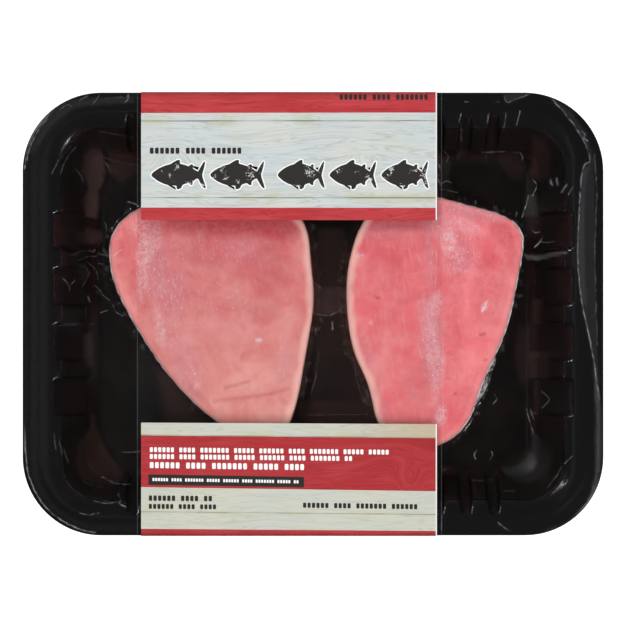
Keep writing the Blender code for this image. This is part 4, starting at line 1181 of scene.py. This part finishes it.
# An eye in the grain: its place on the band in mm, its half sizes, and how far it pushes the grain.
EYES = [
    (-57.7, 66.5, 9.0, 5.5, 7.5), (22.5, 65.6, 9.0, 2.2, 3.4), (-20.0, 70.5, 16.0, 5.0, -2.0), (4.0, 73.5, 22.0, 4.0, 2.2),
    (42.0, 58.0, 12.0, 4.0, 2.0), (-49.0, 38.8, 7.0, 5.0, 4.0), (32.0, 40.0, 12.0, 3.0, -2.2),
    (40.1, PANEL_END - 66.5, 4.4, 6.2, -9.5), (31.0, PANEL_END - 59.5, 13.0, 5.0, 4.5), (49.0, PANEL_END - 57.0, 7.0, 5.0, -3.0),
    (-30.0, PANEL_END - 61.0, 20.0, 5.0, 2.0), (-20.0, PANEL_END - 78.0, 14.0, 4.0, 2.4), (30.0, PANEL_END - 85.0, 20.0, 4.0, -2.0),
    (0.0, 104.0, 16.0, 5.0, 4.0), (-44.0, 150.0, 10.0, 6.0, 8.0), (26.0, 190.0, 12.0, 5.0, 7.0),
    (-20.0, 231.0, 14.0, 6.0, -6.0), (34.0, 256.0, 8.0, 4.0, 5.0), (-40.0, 290.0, 18.0, 5.0, 3.0),
]
lines = []  # (left, right, nominal) of each line of the grid, and the colour of the row above it
for (left, right, colour), (next_left, next_right, _) in zip(ROWS, ROWS[1:]):
    count = math.ceil((next_left - left) / ROW_STEP)
    for step in range(count):
        share = step / count
        lines.append((left + (next_left - left) * share, right + (next_right - right) * share, colour))
lines.append((ROWS[-1][0], ROWS[-1][1], None))
columns = np.linspace(PRINT_LEFT, PRINT_RIGHT, int((PRINT_RIGHT - PRINT_LEFT) / COLUMN_STEP))
print("print grid:", len(columns), "by", len(lines))

# %% Print mesh
print_bm = bmesh.new()
bmesh.ops.create_grid(print_bm, x_segments=len(columns) - 1, y_segments=len(lines) - 1, size=1.0)
print_uv = print_bm.loops.layers.uv.new("print")
spots = {}
for vert in print_bm.verts:
    column = round((vert.co.x + 1) / 2 * (len(columns) - 1))
    row = round((vert.co.y + 1) / 2 * (len(lines) - 1))
    left, right, _ = lines[row]
    part = column / (len(columns) - 1)
    around = (left + (right - left) * part) * MM
    spots[vert.index] = (columns[column], left * MM, row)
    vert.co = on_band(columns[column], around, PRINT_SKIN)
for face in print_bm.faces:
    rows = [spots[vert.index][2] for vert in face.verts]
    face.material_index = lines[min(rows)][2]
    for loop in face.loops:
        loop[print_uv].uv = spots[loop.vert.index][:2]
bmesh.ops.recalc_face_normals(print_bm, faces=print_bm.faces[:])
if sum(face.normal.z for face in print_bm.faces if face.calc_center_median().z > 30 * MM) < 0:
    bmesh.ops.reverse_faces(print_bm, faces=print_bm.faces[:])

# %% Wood shader
FAR_SHIFT = (FIRST_GAP + PLANK) / MM - (PANEL_END - 81.5)  # brings the lower panel's gap onto the plank pitch


def print_material(name, tones, gap_tones, lower_tone, edge_tone, bend_shade_tone, aged_tone):
    """Ink on film that shows painted planks: tones are two grounds, a broad streak and a thin line."""
    made, tree = start_material(name)
    uv = add_node(tree, "ShaderNodeUVMap", {"uv_map": "print"}).outputs["UV"]
    split = add_node(tree, "ShaderNodeSeparateXYZ", links={"Vector": uv})
    grain = add_node(tree, "ShaderNodeAttribute", {"attribute_name": "grain"})
    along_grain = add_node(tree, "ShaderNodeCombineXYZ", links={"X": split.outputs["X"], "Y": grain.outputs["Fac"]})

    def stretched(long, wide, detail, stops, source=along_grain):
        """Noise drawn out along the grain, from a size in mm, through a ramp."""
        sized = add_node(tree, "ShaderNodeVectorMath", {"operation": "MULTIPLY", 1: (1 / (long * MM), 1 / (wide * MM), 1)}, {
            0: source.outputs[0],
        })
        cells = add_node(tree, "ShaderNodeTexNoise", {"noise_dimensions": "2D", "Scale": 1.0, "Detail": detail}, {
            "Vector": sized.outputs[0],
        })
        return add_node(tree, "ShaderNodeValToRGB", {"stops": stops}, {"Fac": cells.outputs["Fac"]}).outputs["Color"]

    def layer(below, colour, share):
        return add_node(tree, "ShaderNodeMix", {"data_type": "RGBA", MIX_B: linear(colour)}, {
            "Factor": share, MIX_A: below,
        }).outputs[MIX_OUT]

    def times(first, second):
        return add_node(tree, "ShaderNodeMath", {"operation": "MULTIPLY"}, {0: first, 1: second}).outputs[0]

    ground = stretched(34, 9, 2.0, [(0.38, tones[0]), (0.62, tones[1])])
    ground = layer(ground, tones[2], stretched(26, 2.6, 3.0, [(0.52, 0.0), (0.66, 0.5), (0.72, 0.0)]))
    lines_share = stretched(46, 3.1, 1.0, [(0.44, 0.0), (0.47, 0.5), (0.485, 0.0), (0.53, 0.0), (0.55, 0.6), (0.565, 0.0)])
    ground = layer(ground, tones[3], lines_share)
    ground = layer(ground, tones[3], stretched(30, 1.0, 1.0, [(0.48, 0.0), (0.52, 0.5), (0.56, 0.0)]))
    from_gap = add_node(tree, "ShaderNodeMath", {"operation": "PINGPONG", 1: PLANK / 2}, {
        0: add_node(tree, "ShaderNodeMath", {"operation": "ADD", 1: 40 * PLANK - FIRST_GAP}, {
            0: split.outputs["Y"],
        }).outputs[0],
    }).outputs[0]
    tinge = add_node(tree, "ShaderNodeMapRange", {"From Min": 3.2 * MM, "From Max": 0.0, "To Max": 0.6}, {"Value": from_gap})
    ground = layer(ground, gap_tones[0], times(tinge.outputs[0], stretched(13, 30, 2.0, [(0.5, 0.0), (0.66, 1.0)])))
    gap = add_node(tree, "ShaderNodeMapRange", {"From Min": 0.32 * MM, "From Max": 0.14 * MM}, {"Value": from_gap})
    ground = layer(ground, gap_tones[1], times(gap.outputs[0], stretched(16, 30, 3.0, [(0.3, 0.35), (0.6, 0.95)])))
    below = add_node(tree, "ShaderNodeMapRange", {
        "From Min": 0.4 * AROUND, "From Max": 0.6 * AROUND, "To Max": 0.36,
    }, {"Value": grain.outputs["Fac"]})
    ground = layer(ground, lower_tone, below.outputs[0])
    # Painted shade where the band bends round the pack's top and bottom edges, darker towards each bend.
    for fold in (91.9, PANEL_END - 91.9):
        off = add_node(tree, "ShaderNodeMath", {"operation": "SUBTRACT", 1: fold * MM}, {0: grain.outputs["Fac"]})
        off = add_node(tree, "ShaderNodeMath", {"operation": "ABSOLUTE"}, {0: off.outputs[0]})
        bend_shade = add_node(tree, "ShaderNodeMapRange", {
            "From Min": 3.2 * MM, "From Max": 0.4 * MM, "To Max": 0.6,
        }, {"Value": off.outputs[0]})
        ground = layer(ground, bend_shade_tone, bend_shade.outputs[0])
    aged = add_node(tree, "ShaderNodeMapRange", {
        "From Min": 8 * MM, "From Max": 48 * MM, "To Max": 0.5,
    }, {"Value": split.outputs["X"]})
    end_plank = add_node(tree, "ShaderNodeMath", {"operation": "GREATER_THAN", 1: (PANEL_END - 52.5) * MM}, {
        0: grain.outputs["Fac"],
    })
    ground = layer(ground, aged_tone, times(aged.outputs[0], end_plank.outputs[0]))
    trim = add_node(tree, "ShaderNodeMapRange", {
        "From Min": PRINT_RIGHT - 0.55 * MM, "From Max": PRINT_RIGHT - 0.45 * MM,
    }, {"Value": split.outputs["X"]})
    ground = layer(ground, edge_tone, trim.outputs[0])
    ink = add_node(tree, "ShaderNodeBsdfPrincipled", {"Roughness": 0.42, "Specular IOR Level": 0.3}, {"Base Color": ground})
    add_node(tree, "ShaderNodeOutputMaterial", links={"Surface": ink.outputs[0]})
    return made


white_planks = print_material(
    "white_plank_print", ("#c6ced1", "#ced1cc", "#c3c7bf", "#a2a8a2"), ("#b8b994", "#6e7464"), "#bfba96", "#ececec", "#a8aaa4",
    "#b8936c")
red_planks = print_material(
    "red_plank_print", ("#bc4044", "#b4383c", "#c65056", "#8c272c"), ("#ab383d", "#8a292e"), "#94282c", "#ececec", "#7e2226",
    "#8c2a2c")
printed = finish_piece("sleeve_print", print_bm, [white_planks, red_planks], "sleeve_print")

# %% Course of the grain
uv_of_point = np.zeros((len(printed.data.vertices), 2))
for loop, corner in zip(printed.data.loops, printed.data.uv_layers["print"].uv):
    uv_of_point[loop.vertex_index] = corner.vector
course = uv_of_point[:, 1].copy()
for x, around, long, wide, push in EYES:
    apart = ((uv_of_point[:, 0] / MM - x) / long) ** 2 + ((uv_of_point[:, 1] / MM - around) / wide) ** 2
    course -= push * MM * np.exp(-apart)
course += 1.3 * MM * wobble(uv_of_point / (1.0, 0.35), 34 * MM, 3.5)
course += 0.35 * MM * wobble(uv_of_point / (1.0, 0.4), 9 * MM, 6.5)
paint(printed.data, "grain", course)
for corner in printed.data.uv_layers["print"].uv:
    if corner.vector[1] > AROUND / 2:
        corner.vector = (corner.vector[0], corner.vector[1] + FAR_SHIFT * MM)

# %% [markdown]
# ### Marks on the print
# Where a pack of this kind carries its name, this one has a row of plain fish in worn black ink with a thin
# white halo, and where it carries small print it has plain blocks of the same height. They are flat shapes
# wrapped onto the band a hair above the planks: one piece of dark ink, one of white.

# %% Shapes of the marks
FISH = [
    (-50, 2), (-45, 9), (-36, 17), (-25, 24), (-14, 28), (-9, 33), (-1, 39), (4, 38), (3, 29), (12, 26), (20, 22),
    (23, 27), (28, 27), (27, 17), (33, 12), (37, 8), (41, 18), (47, 32), (51, 36), (49, 20), (46, 6), (45, 0),
    (46, -8), (50, -24), (52, -36), (47, -33), (41, -20), (37, -9), (32, -12), (27, -18), (27, -27), (22, -26),
    (18, -21), (8, -26), (6, -34), (0, -38), (-3, -36), (-3, -28), (-14, -28), (-26, -24), (-37, -17), (-46, -8), (-50, -3),
]  # percent of the length, from nose to tail, anticlockwise as seen on the front once reversed
BLOCK_PITCH, BLOCK_WIDTH = 0.86, 0.62  # of a row's height
BLOCK_GROUPS = (6, 4, 7, 5)  # blocks that stand together before one is left out


def add_shape(bm, corners, skin, rotated=False):
    """A flat shape from its corners in mm, as X and distance round the band, wrapped onto the band."""
    ring = bmesh.ops.create_circle(bm, segments=len(corners), radius=1.0)["verts"]
    for vert, (x, around) in zip(ring, corners):
        vert.co = on_band(x * MM, around * MM, skin)
    face = bm.faces.new(ring)
    face.normal_update()
    middle = face.calc_center_median()
    if face.normal.dot(Vector((0, middle.y, (middle.z - 15 * MM) * 4))) < 0:
        face.normal_flip()


def grown(corners, by):
    """The same corners pushed out by a distance."""
    corners = np.array(corners, float)
    area = np.sum(corners[:, 0] * np.roll(corners[:, 1], -1) - np.roll(corners[:, 0], -1) * corners[:, 1])
    along = np.roll(corners, -1, axis=0) - np.roll(corners, 1, axis=0)
    along /= np.maximum(np.linalg.norm(along, axis=1), 1e-9)[:, None]
    return corners + np.column_stack([along[:, 1], -along[:, 0]]) * by * (1 if area > 0 else -1)


def fish(x, around, length, height, nose=-1):
    """A plain fish with its middle at a place in mm. Its nose points to -X unless nose is 1."""
    corners = np.array(FISH, float)
    corners[:, 0] *= -nose * length / 100
    corners[:, 1] *= height / 78
    smooth = np.repeat(corners, 3, axis=0)
    for _ in range(2):
        smooth = smooth / 2 + np.roll(smooth, 1, axis=0) / 4 + np.roll(smooth, -1, axis=0) / 4
    return smooth + (x, around)


def block(x0, x1, low, high, slope=0.0, roundness=0.28):
    """A block with rounded corners."""
    cut = roundness * min(x1 - x0, high - low)
    corners = []
    for cx, cy, first in ((x1 - cut, high - cut, 0), (x0 + cut, high - cut, 90), (x0 + cut, low + cut, 180), (x1 - cut, low + cut, 270)):
        for step in range(4):
            a = math.radians(first + 30 * step)
            x, y = cx + cut * math.cos(a), cy + cut * math.sin(a)
            corners.append((x, y + slope * (x - PRINT_LEFT / MM)))
    return corners


def block_row(x0, x1, low, high, slope=0.0):
    """A row of plain blocks, all alike, with a gap after each group."""
    count = round((x1 - x0) / (BLOCK_PITCH * (high - low)))
    pitch = (x1 - x0) / (count - 1 + BLOCK_WIDTH / BLOCK_PITCH)
    width = pitch * BLOCK_WIDTH / BLOCK_PITCH
    gaps = set(np.cumsum(np.tile(np.array(BLOCK_GROUPS) + 1, 9)) - 1)
    starts = [x0 + step * pitch for step in range(count) if step not in gaps or step == count - 1]
    return [block(start, start + width, low, high, slope) for start in starts]


# %% The marks, each with its place in mm round the band
LOWER = PANEL_END
TILT = -0.0135  # the lower panel's print falls this far for each mm to the right
title = [fish(-55.6, 57.4, 22.0, 12.4), fish(-31.3, 57.4, 22.0, 12.4)]
title += [fish(-5.0, 57.4, 19.0, 12.4), fish(16.4, 57.4, 19.0, 12.4), fish(37.8, 57.4, 19.0, 12.4)]
title += [fish(x, 182.0, 24.0, 13.0, 1) for x in (-38.0, -12.0, 14.0)]
dark = block_row(-67.3, -29.6, 66.1, 68.6) + block_row(11.0, 47.3, 88.4, 90.6)
dark += block_row(-67.7, -41.7, LOWER - 77.0, LOWER - 74.8, TILT * 0.6)
dark += block_row(-67.7, -40.0, LOWER - 80.3, LOWER - 78.3, TILT * 0.6)
dark += block_row(-4.1, 43.0, LOWER - 79.0, LOWER - 76.9, TILT)
bar = block(-67.9, -3.7, LOWER - 70.4, LOWER - 66.1, -0.0165, 0.04)
light = block_row(-67.3, 31.2, LOWER - 56.9, LOWER - 54.9, TILT * 0.8)
light += block_row(-67.3, 16.1, LOWER - 59.7, LOWER - 57.7, TILT * 0.8)
light += block_row(-67.3, -3.7, LOWER - 63.5, LOWER - 61.0, TILT)
light += block_row(-66.2, -6.0, LOWER - 68.8, LOWER - 67.5, -0.0165)
side = [fish(x, 109.0, 18.0, 9.4, 1) for x in (-34.0, -10.0, 14.0)]
side += [fish(x, LOWER - 109.0, 18.0, 9.4) for x in (-34.0, -10.0, 14.0)]
for line in range(7):
    dark += block_row(-66.0, -8.0 - 5.0 * (line % 3), 239.0 - 3.4 * line, 240.9 - 3.4 * line)
table = [block(4.0, 46.0, 208.0, 250.0, 0.0, 0.03)]
for line in range(9):
    dark.append(block(6.0, 44.0, 245.0 - 4.1 * line, 245.3 - 4.1 * line, 0.0, 0.3))
    dark += block_row(6.5, 22.0 + 4.0 * (line % 3), 242.2 - 4.1 * line, 243.9 - 4.1 * line)
    dark += block_row(38.0, 43.0, 242.2 - 4.1 * line, 243.9 - 4.1 * line)
back_bar = block(-66.0, 46.0, 160.0, 165.0, 0.0, 0.04)
light += block_row(-60.0, 40.0, 161.6, 163.4)

# %% [markdown]
# ### Inks
# Black ink on film prints as a warm near-black. The title is printed worn: specks of the planks show
# through it. White ink is opaque and a little brighter than the planks.

# %% Ink materials
black_ink, tree = start_material("black_ink")
ink = add_node(tree, "ShaderNodeBsdfPrincipled", {
    "Base Color": linear("#302c2b"), "Roughness": 0.42, "Specular IOR Level": 0.3,
})
add_node(tree, "ShaderNodeOutputMaterial", links={"Surface": ink.outputs[0]})
worn_ink, tree = start_material("worn_black_ink")
place = add_node(tree, "ShaderNodeTexCoord").outputs["Object"]
scuffs = add_node(tree, "ShaderNodeTexNoise", {
    "Scale": 1 / (1.2 * MM), "Detail": 3.0, "Roughness": 0.7, "Distortion": 1.2,
}, {"Vector": place})
where = add_node(tree, "ShaderNodeTexNoise", {"Scale": 1 / (5 * MM), "Detail": 1.0}, {"Vector": place})
both = add_node(tree, "ShaderNodeMath", {"operation": "MULTIPLY"}, {0: scuffs.outputs["Fac"], 1: where.outputs["Fac"]})
tone = add_node(tree, "ShaderNodeValToRGB", {
    "stops": [(0.365, "#302e2c"), (0.38, "#c8cac8")],
}, {"Fac": both.outputs[0]})
ink = add_node(tree, "ShaderNodeBsdfPrincipled", {"Roughness": 0.42, "Specular IOR Level": 0.3}, {
    "Base Color": tone.outputs["Color"],
})
add_node(tree, "ShaderNodeOutputMaterial", links={"Surface": ink.outputs[0]})
white_ink, tree = start_material("white_ink")
ink = add_node(tree, "ShaderNodeBsdfPrincipled", {
    "Base Color": linear("#f4f4f2"), "Roughness": 0.42, "Specular IOR Level": 0.3,
})
add_node(tree, "ShaderNodeOutputMaterial", links={"Surface": ink.outputs[0]})

# %% Mark pieces
white_bm = bmesh.new()
for corners in [grown(corners, 0.5) for corners in title] + table:
    add_shape(white_bm, corners, HALO_SKIN)
for corners in light + side:
    add_shape(white_bm, corners, INK_SKIN)
finish_piece("sleeve_white_ink", white_bm, [white_ink], "sleeve_print")
dark_bm = bmesh.new()
for corners in dark:
    add_shape(dark_bm, corners, INK_SKIN)
for corners in (bar, back_bar):
    add_shape(dark_bm, corners, HALO_SKIN)
finish_piece("sleeve_black_ink", dark_bm, [black_ink], "sleeve_print")
title_bm = bmesh.new()
for corners in title:
    add_shape(title_bm, corners, INK_SKIN)
finish_piece("sleeve_title", title_bm, [worn_ink], "sleeve_print")
